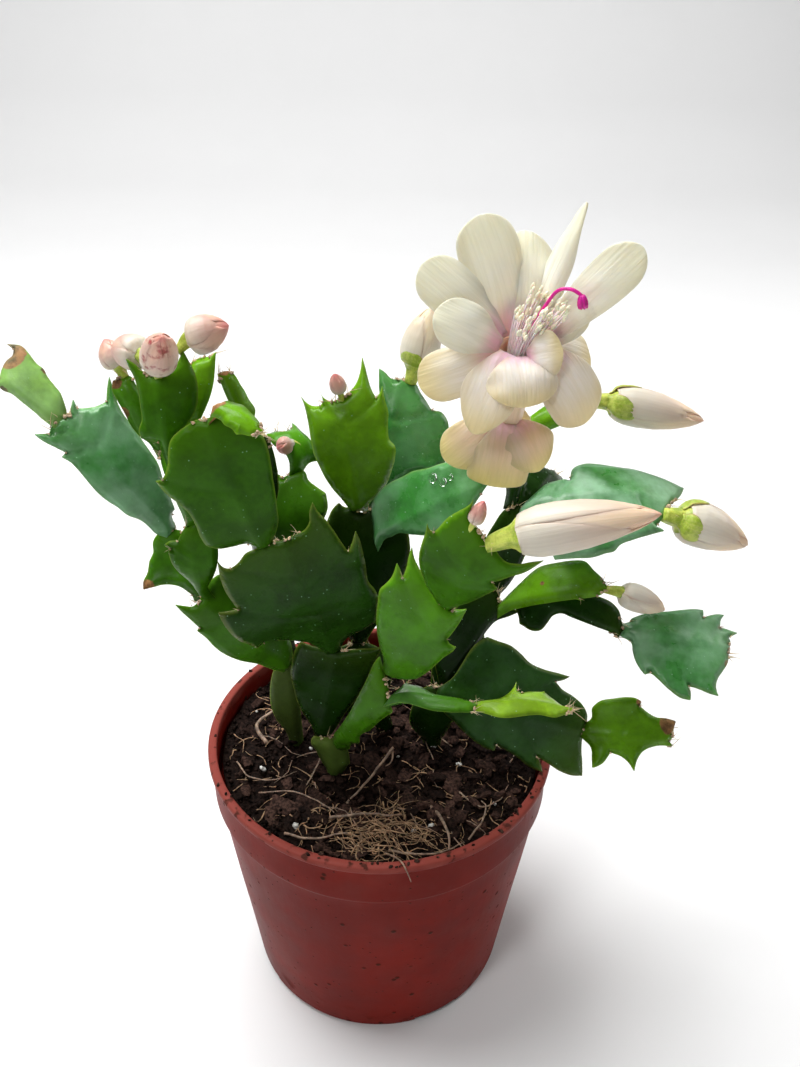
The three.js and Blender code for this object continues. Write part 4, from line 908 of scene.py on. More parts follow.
def bark_chips(draw, soil):
    shape = Shape("tint")
    for _ in range(soil.chips):
        length = draw.uniform(2.5, 8) * draw.uniform(0.6, 1)
        at = on_soil(*scattered(draw, 38.5), draw.uniform(0.2, 1.3))
        size = (length, length * draw.uniform(0.35, 0.7), draw.uniform(0.7, 1.5))
        points, faces = ball(2)
        jagged = 1 + 0.5 * (draw.random(len(points))[:, None] - 0.5)
        points = np.sign(points) * np.abs(points) ** 0.7 * jagged * np.array(size) / 2
        tilt = unit((draw.uniform(-0.5, 0.5), draw.uniform(-0.5, 0.5), 1))
        turn = draw.uniform(0, 2 * math.pi)
        shape.add((along_axis(points, at, tilt, (math.cos(turn), math.sin(turn), 0)), faces),
                  tint=draw.uniform(0.25, 1.5))
    return shape


def dry_fibres(draw, soil):
    """Short fibres: some heaped at the front, and the rest strewn over the soil."""
    shape = Shape()
    for index in range(soil.fibres):
        heaped = index < HEAPED_SHARE * soil.fibres
        x, y = draw.normal((-2, -31), (8, 4)) if heaped else scattered(draw, 39.5)
        if math.hypot(x, y) > 40:
            continue
        turn = draw.normal(0, 0.7) if heaped else None
        lift = 2.6 * math.exp(-((x + 2) / 9) ** 2) + 0.6 if heaped else 1.0
        path = loose_thread(draw, x, y, draw.uniform(3, 12), lift, turn)
        shape.add(tube(path, np.linspace(0.16, 0.05, len(path)) * draw.uniform(0.6, 1.5), 4))
    return shape


def pale_roots(draw):
    shape = Shape()
    for points, thick in ROOTS:
        path = through([on_soil(x, y, above) for x, y, above in points], 22)
        path += 0.25 * np.stack([wander(path, 2.5, axis) for axis in range(3)], axis=1)
        shape.add(tube(path, np.linspace(thick, 0.45 * thick, len(path)), 7))
    for _ in range(LOOSE_ROOTS):
        x, y = scattered(draw, 38)
        path = loose_thread(draw, x, y, draw.uniform(9, 20), 1.6)
        shape.add(tube(path, np.linspace(0.2, 0.08, len(path)), 5))
    shape.add(tube(through(RIM_STRAND, 16), np.linspace(0.3, 0.1, 16), 6))
    return shape


def perlite(draw):
    shape = Shape("tint")
    for index in range(PERLITE_GRAINS):
        x, y = PERLITE_PLACES[index] if index < len(PERLITE_PLACES) else scattered(draw, 37)
        size = draw.uniform(0.7, 1.7)
        shape.add(lump(draw, on_soil(x, y, 0.9), (size * 1.4, size, size * 0.8), 2, 0.35),
                  tint=draw.uniform(0.8, 1.1))
    return shape


def rim_crumbs(draw):
    """Specks of soil stuck to the rim, more of them at the front."""
    shape = Shape("tint")
    for _ in range(RIM_CRUMBS):
        turn = draw.uniform(0, 2 * math.pi) if draw.random() < 0.5 else draw.normal(-1.3, 0.5)
        size = draw.uniform(0.4, 1.1)
        out = RIM_RADIUS - draw.uniform(0.2, 2.2)
        at = (out * math.cos(turn), out * math.sin(turn), POT_HEIGHT + 0.1)
        shape.add(lump(draw, at, (size * 1.5, size, size * 0.7), 1, 0.5), tint=draw.uniform(0.5, 1.6))
    return shape


def build_litter():
    soil = bpy.context.scene.cactus_soil
    draw = np.random.default_rng(11)
    bark = litter_material("bark", tuple(soil.bark), 0.85)
    fibre = thread_material("fibre", tuple(soil.fibre), 0.5, 0.8)
    mesh_piece("peat_crumbs", peat_crumbs(draw, soil), litter_material("peat", tuple(soil.peat)), "soil")
    mesh_piece("bark_chips", bark_chips(draw, soil), bark, "soil", sharp=50)
    mesh_piece("fibres", dry_fibres(draw, soil), fibre, "soil")
    mesh_piece("roots", pale_roots(draw), thread_material("root", ROOT, 0.5, 0.6), "soil")
    mesh_piece("perlite", perlite(draw), litter_material("perlite", PERLITE, 0.8), "soil")
    mesh_piece("rim_crumbs", rim_crumbs(draw), bark, "soil")


# --- Blades: the shared shape of segments and tepals --------------------------------------------------


class Blade:
    """The middle surface of a segment or tepal: where it starts, its directions and how it bends."""

    def __init__(self, base, tip, face, *, wide, bow, cup, phase, pull):
        self.base = np.asarray(base, float)
        run = np.asarray(tip, float) - self.base
        self.length = np.linalg.norm(run)
        self.along = run / self.length
        self.out = unit(face - self.along * np.dot(face, self.along))
        self.across = np.cross(self.along, self.out)
        self.wide, self.bow, self.cup, self.phase, self.pull = wide, bow, cup, phase, pull

    def point(self, share, side, lift=0.0):
        """Points at share of the length, side across and lift off the middle surface (arrays)."""
        share, side, lift = np.broadcast_arrays(share, side, lift)
        slope = self.bow * 4 * (1 - 2 * share) / self.length
        forward = self.along + slope[..., None] * self.out
        forward /= np.linalg.norm(forward, axis=-1, keepdims=True)
        up = np.cross(self.across, forward)
        up /= np.linalg.norm(up, axis=-1, keepdims=True)
        edge = side / (self.wide / 2)
        ripple = RIPPLE * np.sin(2 * math.pi * RIPPLES * share + self.phase + 0.8 * np.sign(side))
        rise = self.cup * edge ** 2 + ripple * edge ** 2 + lift
        bend = self.bow * 4 * share * (1 - share)
        start = np.clip(1 - share / 0.14, 0, 1.3) ** 2
        return (self.base + share[..., None] * self.length * self.along + bend[..., None] * self.out
                + side[..., None] * self.across + rise[..., None] * up + start[..., None] * self.pull)


def both_sides(top, under=None):
    """A grid of rows across one side, carried on round the other side to close each row."""
    under = top if under is None else under
    return np.concatenate([top, under[:, -2:0:-1]], axis=1)


# --- Segments ---------------------------------------------------------------------------------------


def eased(points, spacing):
    """The line through points: sharp where it turns sharply, and curved through the gentle turns."""
    points = np.asarray(points, float)
    steps = np.diff(points, axis=0)
    lengths = np.linalg.norm(steps, axis=1)
    heading = steps / lengths[:, None]
    bends = np.arccos(np.clip(np.sum(heading[:-1] * heading[1:], axis=1), -1, 1))
    line = [points[0]]
    for i, length in enumerate(lengths):
        leave, arrive = heading[i], heading[i]
        if i > 0 and bends[i - 1] < SHARP_TURN:
            leave = unit(heading[i - 1] * length + heading[i] * lengths[i - 1])
        if i < len(bends) and bends[i] < SHARP_TURN:
            arrive = unit(heading[i] * lengths[i + 1] + heading[i + 1] * length)
        for t in np.linspace(0, 1, max(1, math.ceil(length / spacing)) + 1)[1:]:
            far = 3 * t ** 2 - 2 * t ** 3
            line.append((2 * t ** 3 - 3 * t ** 2 + 1) * points[i] + far * points[i + 1]
                        + length * ((t ** 3 - 2 * t ** 2 + t) * leave + (t ** 3 - t ** 2) * arrive))
    return np.array(line)


def distance_to(line, points):
    """The distance of each flat point from a line of flat points."""
    start, run = line[:-1], np.diff(line, axis=0)
    away = points[:, None] - start[None]
    along = np.clip(np.sum(away * run, axis=2) / np.maximum(np.sum(run ** 2, axis=1), 1e-9), 0, 1)
    return np.linalg.norm(away - along[..., None] * run, axis=2).min(axis=1)


def within(ring, points):
    """Which flat points lie inside a closed ring."""
    here, after = ring, np.roll(ring, -1, axis=0)
    x, y = points[:, :1], points[:, 1:]
    crosses = (here[:, 1] > y) != (after[:, 1] > y)
    rise = np.where(after[:, 1] == here[:, 1], 1e-9, after[:, 1] - here[:, 1])
    left_of = x < here[:, 0] + (y - here[:, 1]) / rise * (after[:, 0] - here[:, 0])
    return (crosses & left_of).sum(axis=1) % 2 == 1


def edge_uses(faces):
    """How many faces share each edge."""
    uses = {}
    for face in faces:
        for edge in zip(face, face[1:] + face[:1]):
            key = tuple(sorted(edge))
            uses[key] = uses.get(key, 0) + 1
    return uses


def skin(ring):
    """Triangles that fill a flat ring, finer towards it: points, faces, the points on the ring, and each
    point's depth inside. No triangle has all its points on the ring."""
    line = np.vstack([ring, ring[:1]])
    tangent = np.roll(ring, -1, axis=0) - np.roll(ring, 1, axis=0)
    inward = np.stack([-tangent[:, 1], tangent[:, 0]], axis=1)
    inward /= np.maximum(np.linalg.norm(inward, axis=1, keepdims=True), 1e-9)
    inner = []
    for step, depth in enumerate(SKIN_DEPTHS):
        rows = ring[::step + 1] + inward[::step + 1] * depth
        inner.append(rows[distance_to(line, rows) > 0.85 * depth])
    low, high = ring.min(axis=0), ring.max(axis=0)
    for row, y in enumerate(np.arange(low[1], high[1], SKIN_SPACING * 0.87)):
        x = np.arange(low[0] + (row % 2) * SKIN_SPACING / 2, high[0], SKIN_SPACING)
        rows = np.stack([x, np.full_like(x, y)], axis=1)
        inner.append(rows[distance_to(line, rows) > SKIN_DEPTHS[-1] + 0.3])
    inner = np.vstack(inner)
    points = np.vstack([ring, inner[within(ring, inner)]])
    for _ in range(6):
        filled = geometry.delaunay_2d_cdt([Vector(point) for point in points], [],
                                          [list(range(len(ring)))], 1, 1e-6)
        flat = np.array([tuple(point) for point in filled[0]])
        uses = edge_uses(filled[2])
        rim = {i for edge, count in uses.items() if count == 1 for i in edge}
        chords = [edge for edge, count in uses.items() if count == 2 and rim.issuperset(edge)]
        if not chords:
            break
        points = np.vstack([points, [(flat[a] + flat[b]) / 2 for a, b in chords]])
    return flat, filled[2], sorted(rim), distance_to(line, flat)


def leaf_sheet(blade, ring, half_thickness, relief):
    """A closed leaf from its flat ring (along, side, in millimetres): the part, and for each of its
    points the place along and across and the depth inside the margin."""
    flat, faces, outer, depth = skin(ring)
    share, side = flat[:, 0] / blade.length, flat[:, 1]
    rim = np.zeros(len(flat), bool)
    rim[outer] = True
    half = np.where(rim, 0, half_thickness(share, side, depth))
    lift = relief(share, side)
    inside = np.flatnonzero(~rim)
    below = np.arange(len(flat))
    below[inside] = len(flat) + np.arange(len(inside))
    under = blade.point(share, side, lift - half)[inside]
    points = np.vstack([blade.point(share, side, lift + half), under])
    under_faces = [tuple(int(below[i]) for i in reversed(face)) for face in faces]
    both = lambda values: np.concatenate([values, values[inside]])
    return (points, [tuple(face) for face in faces] + under_faces), both(share), both(side), both(depth)


SEGMENT_DEFAULTS = {
    "on": None, "root": None, "side": 0, "lift": 0, "at": 1, "face": (0, -0.85, 0.53), "bow": 2, "cup": 0,
    "thick": 1, "tone": "mid", "scars": (), "dust": 0, "shade": 0, "ribbed": 0.25, "hairs": 7, "felted": 2.6,
}


def grow(name, tip, **given):
    return SimpleNamespace(**{**SEGMENT_DEFAULTS, "name": name, "tip": tip, **given})


# Every segment, as in the CAD: the segment whose apex it grows from and its seat there (at along, side
# across and lift off it), or its place in the soil (root); where its own apex reaches; and how it faces,
# bows and cups. left and right are its margins from the joint to the apex, as pairs of share of its
# length and distance from its midrib. thick multiplies its thickness. Its finish is tone, ribbed (depth
# of its grooves), dust (a pale waxy dust that is also painted sheen), shade (painted
# shade for segments that sit in shadow), scars (share, side, radius), hairs and felted (how far felt
# spreads at its apex).
SEGMENTS = (
    # Old foot of the plant and the big front chain that leans left
    grow("stem_foot", (-12.9, -10, 82.9), root=(-11.3, -11.5), bow=0, thick=2, tone="stem", hairs=3,
         left=(0.3, 2.8, 0.69, 3.9, 1.02, 4.3, 1.1, 3.6),
         right=(0.17, 4.2, 0.35, 4.3, 0.72, 3.9, 0.92, 2.9)),
    grow("segment_front_lower", (-10, -9, 110), on="stem_foot", side=-1.9, lift=-1.2, bow=-1.5, tone="deep",
         shade=0.55,
         left=(0.05, 2.5, 0.16, 5.6, 0.27, 7.7, 0.4, 9, 0.54, 10.1, 0.7, 10.4, 0.86, 10.2, 0.97, 9.2),
         right=(0.05, 2.9, 0.25, 5, 0.43, 6.7, 0.67, 8.3, 0.91, 9.2, 1.11, 9.8, 1.21, 9.9)),
    grow("segment_front_broad", (-20.1, -20, 148.1), on="segment_front_lower", side=-1, at=0.982,
         tone="deep", felted=4, hairs=9,
         left=(0.05, 2.9, 0.17, 6.5, 0.25, 10.5, 0.29, 13.9, 0.26, 16, 0.31, 16.8, 0.39, 18.3, 0.49, 19.3,
               0.59, 19.7, 0.66, 19.6, 0.63, 15.4, 0.7, 15.8, 0.79, 16, 0.91, 15.4, 1.01, 14.4, 0.96, 13.9,
               0.93, 12.7, 0.95, 10.6, 0.99, 8.5, 1, 6.1, 1.01, 4.5),
         right=(0.06, 3.7, 0.09, 8.4, 0.11, 10.4, 0.12, 11.7, 0.23, 12.9, 0.35, 14.2, 0.44, 14.1, 0.5, 13.5,
                0.64, 14.2, 0.76, 14.7, 0.85, 15, 0.91, 14.8, 0.85, 13.4, 0.79, 11.8, 0.84, 11.3,
                0.92, 10.7, 1.02, 9.8, 1.09, 8.8, 1.15, 8.5, 1.1, 7.1, 1.04, 6.3, 1.01, 5, 1, 2.6)),
    grow("segment_left_oval", (-32.7, -26, 178.3), on="segment_front_broad", side=-4.4, tone="olive",
         shade=0.2, hairs=2,
         left=(0.05, 2.7, 0.07, 6, 0.09, 8.6, 0.14, 10.2, 0.24, 10.6, 0.35, 10.3, 0.42, 10.4, 0.54, 11.6,
               0.63, 12.9, 0.68, 13.2, 0.74, 13.5, 0.73, 12.1, 0.8, 10.2, 0.89, 8.8, 0.95, 7.5, 0.98, 5.6,
               1, 3.3, 1.01, 1.8),
         right=(0.06, 3.4, 0.14, 5, 0.26, 6, 0.38, 6.9, 0.5, 7.7, 0.6, 8.4, 0.69, 8.9, 0.78, 9, 0.85, 8.3,
                0.92, 6.7, 0.96, 4.5, 1, 2.1)),
    grow("segment_left_crown", (-21, -31, 178.2), on="segment_left_oval", side=1.2, face=(0.25, -0.45, 0.8),
         bow=1, tone="fresh", scars=((0.03, -1, 4),),
         left=(0.05, 3, 0.23, 3.5, 0.42, 3.2, 0.63, 2.3, 0.82, 1.7),
         right=(0.16, 1.7, 0.2, 1.7, 0.33, 2.1, 0.47, 3, 0.54, 2.8, 0.67, 3.3, 0.76, 2.6, 0.88, 2.2,
                0.95, 1.1)),
    # Rear left stem and the chain that reaches far left
    grow("stem_rear_left", (-22.9, -3, 102.5), root=(-22, 0), tone="stem", shade=0.4,
         left=(0.57, 5.5, 0.84, 4.3, 0.98, 2.8),
         right=(0.57, 2.1, 0.84, 2.4, 0.97, 2.2)),
    grow("segment_left_low", (-40.9, -13, 126.9), on="stem_rear_left", lift=1.5, at=0.955, shade=0.5,
         left=(0.07, 3.1, 0.23, 4.1, 0.39, 5.8, 0.51, 6.4, 0.65, 6.4, 0.76, 5.9, 0.85, 5.9, 0.85, 5,
               0.95, 4.7, 1.04, 4.5, 1.11, 4.2, 1.05, 3, 1.01, 2.1),
         right=(0.05, 3.3, 0.38, 7.1, 0.72, 9.4, 0.92, 9.2, 1.03, 7.3, 1.04, 4.6, 1.02, 2)),
    grow("segment_left_small", (-39.1, -17, 150.7), on="segment_left_low", side=1.9, lift=0.8, at=0.986,
         bow=3, tone="olive", shade=0.1,
         left=(0.16, 1.7, 0.29, 2.5, 0.43, 4, 0.56, 5.2, 0.66, 5.7, 0.69, 5.2, 0.73, 6.5, 0.78, 5.1,
               0.78, 3.6, 0.88, 2.5, 0.95, 1.5),
         right=(0.14, 1.7, 0.35, 3.4, 0.52, 4.6, 0.69, 5, 0.84, 4.6, 0.94, 3.4, 1, 1.5)),
    grow("segment_left_curled", (-47.4, -6, 141.3), on="segment_left_low", side=0.1, lift=-1, bow=-2,
         shade=0.45, scars=((0.28, -10, 3.5),),
         left=(0.04, 1.1, 0.17, 3.1, 0.25, 5.9, 0.27, 8.6, 0.28, 10.8, 0.39, 10.4, 0.5, 8.8, 0.64, 7.5,
               0.76, 5.7, 0.89, 4.9, 0.98, 3.2, 1.02, 1.5),
         right=(0.07, 2.4, 0.4, 4.6, 0.69, 4.1, 0.88, 2.5, 0.95, 1.5)),
    grow("segment_left_broad", (-67.5, -8, 169.1), on="segment_left_curled", side=0.1, at=0.987,
         face=(-0.25, -0.5, 0.83), tone="blue", dust=0.75, ribbed=0.5,
         left=(0.05, 3.1, 0.08, 3.2, 0.17, 3.6, 0.25, 4.6, 0.35, 4.9, 0.43, 5.4, 0.51, 5.5, 0.6, 5.2,
               0.69, 4.8, 0.76, 4.7, 0.82, 5.2, 0.82, 3.9, 0.88, 4.5, 0.96, 5.3, 1, 5.5, 1.03, 5.5, 1, 4.4,
               0.97, 3.4, 0.99, 2),
         right=(0.05, 2.6, 0.06, 3.8, 0.13, 4.8, 0.25, 6.3, 0.35, 7.9, 0.47, 8.7, 0.57, 9.3, 0.65, 9.8,
                0.74, 10.3, 0.81, 11.1, 0.89, 12.6, 0.97, 14, 0.92, 11.6, 0.87, 9.7, 0.89, 7.7, 0.92, 6.1,
                0.96, 4.5, 1.02, 5.3, 1, 4.1, 0.97, 2.7, 0.98, 1.4)),
    grow("segment_left_tip", (-79.2, -4, 177.2), on="segment_left_broad", side=-0.2, at=0.972,
         face=(-0.2, -0.55, 0.8), bow=0.5, tone="pale", dust=0.3,
         scars=((1.05, 4.5, 5), (0.8, -2.5, 2), (0.55, 6.5, 1.5)), hairs=0,
         left=(0.1, 1.8, 0.24, 1.7, 0.39, 1.7, 0.53, 1.7, 0.68, 1.7, 0.82, 2.3, 0.93, 2),
         right=(0.05, 3.3, 0.13, 4.5, 0.3, 5.2, 0.46, 5.7, 0.6, 6.5, 0.68, 6.4, 0.87, 7, 1.08, 7.3,
                1.26, 5.8, 1.12, 5.8, 1.06, 4.5, 1.07, 2.9, 1.04, 1.2)),
    grow("segment_left_bearer", (-45.1, -10, 163.1), on="segment_left_small", at=0.96, shade=0.3,
         left=(0.11, 1.7, 0.35, 1.7, 0.59, 1.7, 0.82, 1.7, 1.02, 1.3),
         right=(0.04, 2, 0.26, 4.8, 0.55, 5.4, 0.8, 4.6, 1, 2.7)),
    grow("segment_left_bud_front", (-43.5, -15, 182.5), on="segment_left_bearer", side=1.1, lift=1.3,
         at=0.574, tone="olive",
         left=(0.33, 2.1, 0.35, 3.7, 0.39, 5.3, 0.47, 5.4, 0.58, 4.4, 0.73, 4.3, 0.85, 4.3, 0.98, 4.7,
               1.08, 5.5, 1.15, 5.9, 1.1, 4.3, 1.02, 2.5),
         right=(0.37, 1.7, 0.45, 3.1, 0.54, 5, 0.65, 6.5, 0.77, 7.3, 0.89, 7.6, 1.01, 7.2, 1.09, 6.4,
                1.19, 5.3, 1.12, 4.5, 1.04, 3.2, 1, 1.7)),
    grow("segment_left_bud_rear", (-53, -6, 178.3), on="segment_left_bearer", side=-0.8, lift=-1.6,
         at=1.042, shade=0.25, scars=((0.6, -3.2, 2.2), (0.95, -2, 2.2)),
         left=(0.14, 1.7, 0.27, 2.6, 0.44, 3.2, 0.6, 3.2, 0.77, 3.3, 0.91, 3.2, 0.99, 2.4, 0.99, 1.2),
         right=(0.17, 1.7, 0.4, 1.7, 0.61, 1.7, 0.8, 1.7, 0.94, 1.5)),
    grow("segment_left_bud_side", (-37.1, -4, 181.5), on="segment_left_bearer", side=2.1, lift=-1.6,
         tone="fresh",
         left=(0.14, 1.7, 0.38, 1.7, 0.61, 1.8, 0.81, 1.8, 0.93, 1.4),
         right=(0.07, 1.7, 0.26, 3.3, 0.44, 4.2, 0.6, 4.6, 0.78, 4.3, 0.96, 3.4, 1.11, 2.4, 1.05, 1.6)),
    # Rear left, behind the tall segments
    grow("segment_rear_left_lower", (-28.9, 6, 129.8), on="stem_rear_left", side=0.8, lift=-1.5, at=0.982,
         tone="deep", shade=0.6,
         left=(0.15, 1.7, 0.44, 2, 0.72, 2.9, 0.9, 3.2, 0.99, 1.8),
         right=(0.22, 1.8, 0.49, 3.4, 0.72, 3.5, 0.89, 2.7, 0.97, 1.8)),
    grow("segment_rear_left", (-23.5, 12, 145), on="segment_rear_left_lower", side=1.1, lift=-1.2, at=0.979,
         shade=0.6,
         left=(0.13, 2.7, 0.4, 4.3, 0.66, 5.2, 0.91, 5, 1.05, 3.8, 1.03, 2.2),
         right=(0.06, 4.4, 0.19, 8.4, 0.5, 11.4, 0.77, 12.1, 0.97, 10.6, 1.02, 7.8, 1.07, 5.6, 1.16, 4.3,
                1.16, 2.5, 1.09, 1.2)),
    grow("segment_rear_left_riser", (-24.4, -12, 168.6), on="segment_rear_left_lower", side=-0.9, lift=1,
         at=0.958, tone="deep", shade=0.6,
         left=(0.27, 2.5, 0.51, 3.9, 0.71, 4.1, 0.88, 2.6, 0.97, 1.4),
         right=(0.33, 2.6, 0.59, 4.6, 0.78, 3.9, 0.91, 2.6, 0.98, 1.3)),
    grow("segment_left_narrow", (-31.1, -12, 182.1), on="segment_rear_left_riser", side=-1.7, at=0.943,
         face=(0.5, -0.8, 0.2), bow=0, tone="fresh", scars=((1.05, 0, 2.6),),
         left=(0.34, 1.7, 0.55, 1.7, 0.71, 1.7, 0.85, 1.7, 1.02, 1.5),
         right=(0.2, 1.8, 0.31, 2.7, 0.46, 2.5, 0.61, 2.3, 0.73, 1.9, 0.86, 1.7, 0.95, 1.3)),
    grow("segment_rear_left_tip", (-24, 20, 153.2), on="segment_rear_left", side=2.4, at=1.097,
         face=(0.3, -0.6, 0.7),
         left=(0.11, 1.7, 0.39, 2.4, 0.67, 4.4, 1.08, 4.2, 1.08, 1.7),
         right=(0.05, 2.7, 0.07, 6, 0.2, 6.4, 0.45, 5, 0.81, 4, 1.32, 3.8, 1.03, 1.7)),
    # Middle stem with the tall, pale and flowering segments
    grow("stem_middle", (-5.7, 0, 106.1), root=(2, 5), tone="deep", shade=0.6,
         left=(0.53, 11.8, 0.78, 10.7, 0.97, 6.2),
         right=(0.35, 1.7, 0.6, 5.4, 0.86, 4.9)),
    grow("segment_middle_dark", (-5.1, 4, 140.7), on="stem_middle", at=0.985, tone="deep", shade=0.8,
         left=(0.07, 3.2, 0.29, 8, 0.53, 11.1, 0.76, 11.1, 0.9, 8.1, 1.02, 6.3, 1.06, 5, 1.03, 3.6,
               1.03, 2.1),
         right=(0.08, 3.5, 0.31, 8.2, 0.56, 11, 0.78, 12, 0.94, 10.3, 1.01, 7, 1.03, 3.5)),
    grow("segment_tall", (-9.1, 8, 167.7), on="segment_middle_dark", side=-0.5, lift=0.2, at=1.022,
         tone="fresh", shade=0.3, ribbed=0.6,
         left=(0.11, 3.7, 0.21, 5.2, 0.32, 6.4, 0.44, 7.3, 0.55, 8, 0.67, 8.2, 0.79, 8.2, 0.92, 8.4, 1, 8.7,
               1.07, 9.2, 1.01, 8.2, 0.97, 6.9, 0.96, 5.1, 0.99, 4.5, 1.09, 4.8, 1.03, 4.2, 0.99, 3,
               0.99, 1.6),
         right=(0.06, 3.7, 0.09, 5.5, 0.19, 7.5, 0.32, 9, 0.43, 10, 0.55, 10.2, 0.59, 9.4, 0.71, 9.3,
                0.84, 9.8, 0.94, 9.4, 1.06, 9.2, 1.01, 8.6, 0.97, 7.5, 1.03, 6.8, 1.13, 6.3, 1.22, 6,
                1.31, 5.6, 1.2, 4.8, 1.14, 4.1, 1.07, 2.7, 1.03, 1.2)),
    grow("segment_pale", (4.4, 20, 167.4), on="segment_middle_dark", side=1.9, lift=-2, tone="blue",
         dust=0.2, ribbed=0.4,
         left=(0.1, 1.7, 0.32, 1.7, 0.55, 1.7, 0.74, 3.1, 0.87, 4.7, 1.03, 6.1, 1.01, 4.4, 0.98, 2.8),
         right=(0.07, 3.3, 0.18, 4.1, 0.27, 5.8, 0.33, 7.7, 0.37, 10.3, 0.41, 12.8, 0.46, 14.3, 0.54, 14.9,
                0.6, 13.7, 0.7, 13.5, 0.77, 12.7, 0.83, 10.5, 0.83, 8.4, 0.88, 6.6, 0.94, 4.6, 1, 2.9,
                1.01, 1.3)),
    grow("segment_flowering", (23.4, -9, 156.7), on="segment_middle_dark", side=3.9, lift=1.6, at=0.802,
         face=(0, -0.76, 0.65), tone="blue", dust=0.55, ribbed=0.1, hairs=0,
         left=(0.09, 7.9, 0.18, 8.8, 0.29, 9.5, 0.39, 9.5, 0.5, 9.5, 0.58, 8.8, 0.63, 8.4, 0.72, 8,
               0.81, 7.4, 0.9, 6.4, 0.97, 4.8, 1.01, 2.4),
         right=(0.07, 1.1, 0.13, 1.7, 0.2, 1.7, 0.3, 3.3, 0.41, 4.9, 0.53, 6.1, 0.66, 6.1, 0.77, 4.7,
                0.86, 2.9, 0.94, 1.2)),
    # Front right chain
    grow("segment_front_right_lower", (2.2, -20, 108), on="stem_foot", side=2, lift=1.4, at=0.835, bow=3,
         shade=0.4,
         left=(0.39, 2.3, 0.62, 3.1, 0.79, 4.1, 0.93, 5, 1.03, 5.8, 1.11, 6.3, 1.16, 6.2, 1.1, 3.9),
         right=(0.06, 3.4, 0.17, 3.2, 0.33, 3.9, 0.39, 3, 0.55, 3.6, 0.71, 3.8, 0.86, 4.6, 0.89, 3.3,
                0.94, 1.9)),
    grow("segment_front_upright", (14.2, -27, 136.6), on="segment_front_right_lower", side=-2.2, at=1.099,
         shade=0.15,
         left=(0.05, 2.1, 0.22, 5.2, 0.38, 8, 0.52, 10.2, 0.65, 11.9, 0.78, 13.2, 0.86, 12.9, 0.94, 12.8,
               1, 13.2, 1.05, 13.7, 1.02, 12.2, 0.98, 10.8, 1.06, 11.5, 1.13, 12.4, 1.21, 13.2, 1.15, 11.3,
               1.11, 9.1, 1.07, 6.5, 1.03, 3.8, 1.02, 1.9),
         right=(0.06, 3.9, 0.14, 5.2, 0.29, 6, 0.45, 6.4, 0.63, 6.8, 0.7, 7.2, 0.77, 7.2, 0.76, 6.1,
                0.77, 4.6, 0.85, 4.6, 0.96, 4.4, 1.08, 3.8, 1.04, 2.6, 1.01, 1.4)),
    grow("segment_front_bud", (20.5, -37, 159.8), on="segment_front_upright", side=-0.2, at=1.008,
         tone="olive",
         left=(0.09, 4.5, 0.24, 6.9, 0.41, 8.9, 0.6, 10.1, 0.73, 10.5, 0.81, 10.7, 0.9, 11.2, 0.86, 10.2,
               0.85, 9.3, 0.92, 8.8, 1.02, 8.1, 1.09, 7.1, 1.16, 6, 1.2, 5.5, 1.25, 5.4, 1.18, 5, 1.11, 4.6,
               1.07, 3.3, 1.03, 1.6),
         right=(0.14, 3.1, 0.28, 4.4, 0.43, 5.4, 0.52, 6.1, 0.59, 6.8, 0.63, 5.2, 0.69, 6.5, 0.77, 8,
                0.83, 9.3, 0.92, 10.5, 1.04, 11.7, 0.98, 9.8, 0.91, 7.7, 0.88, 5.5, 0.9, 4.1, 0.95, 2.2)),
    grow("segment_strap_inner", (22.5, -26, 108), on="segment_front_right_lower", side=1.8, at=0.898,
         face=(0, 0.1, 1), bow=1, shade=0.3, dust=0.1,
         left=(0.09, 8.3, 0.1, 7.2, 0.28, 4.6, 0.45, 2.4, 0.63, 1.7, 0.79, 1.7, 0.93, 1.1),
         right=(0.11, 1.7, 0.28, 2.7, 0.47, 3.9, 0.66, 4, 0.83, 3.3, 0.95, 2.3)),
    grow("segment_strap_outer", (44.2, -26, 107.3), on="segment_strap_inner", at=0.986, face=(0, 0.1, 1),
         bow=1, tone="lime", hairs=16,
         left=(0.12, 2.3, 0.22, 2.8, 0.3, 4.3, 0.37, 6.6, 0.42, 9.5, 0.42, 5.9, 0.46, 5.1, 0.57, 6.1,
               0.71, 6.1, 0.78, 4.1, 0.86, 2.2, 0.92, 1.1),
         right=(0.16, 4.2, 0.3, 4.4, 0.45, 4, 0.6, 3.7, 0.75, 4, 0.88, 2.2)),
    # Right stem
    grow("stem_right", (14.3, -3, 94.6), root=(14, 0), tone="deep", shade=0.5,
         left=(0.4, 6.3, 0.73, 6.1, 0.96, 3.2),
         right=(0.42, 4, 0.75, 5.1, 0.97, 3.3)),
    grow("segment_right_large", (51.4, -9, 85.9), on="stem_right", side=-0.2, lift=1.9, at=0.956,
         face=(0, -0.93, 0.38), tone="deep", dust=0.1,
         left=(0.06, 4, 0.09, 7.7, 0.11, 11.1, 0.14, 14, 0.19, 16.3, 0.26, 16.2, 0.35, 16.1, 0.42, 15.1,
               0.5, 13.4, 0.6, 12.7, 0.69, 12.6, 0.79, 12.5, 0.76, 11.4, 0.71, 10.3, 0.76, 9, 0.85, 7.9,
               0.93, 6.3, 0.99, 3.7),
         right=(0.05, 2.9, 0.08, 5.3, 0.17, 7.2, 0.25, 8.9, 0.34, 10.5, 0.41, 11.2, 0.47, 11.3, 0.47, 9.5,
                0.53, 10.1, 0.62, 11.1, 0.71, 12.6, 0.82, 13.2, 0.79, 11.2, 0.75, 9.7, 0.83, 10.6,
                0.92, 11.8, 1.01, 12.4, 1.1, 12.1, 1.07, 8.9, 1.03, 5.3, 1.01, 2.7)),
    grow("segment_right_cupped", (72.9, -12, 86.8), on="segment_right_large", side=0.5, cup=2.5,
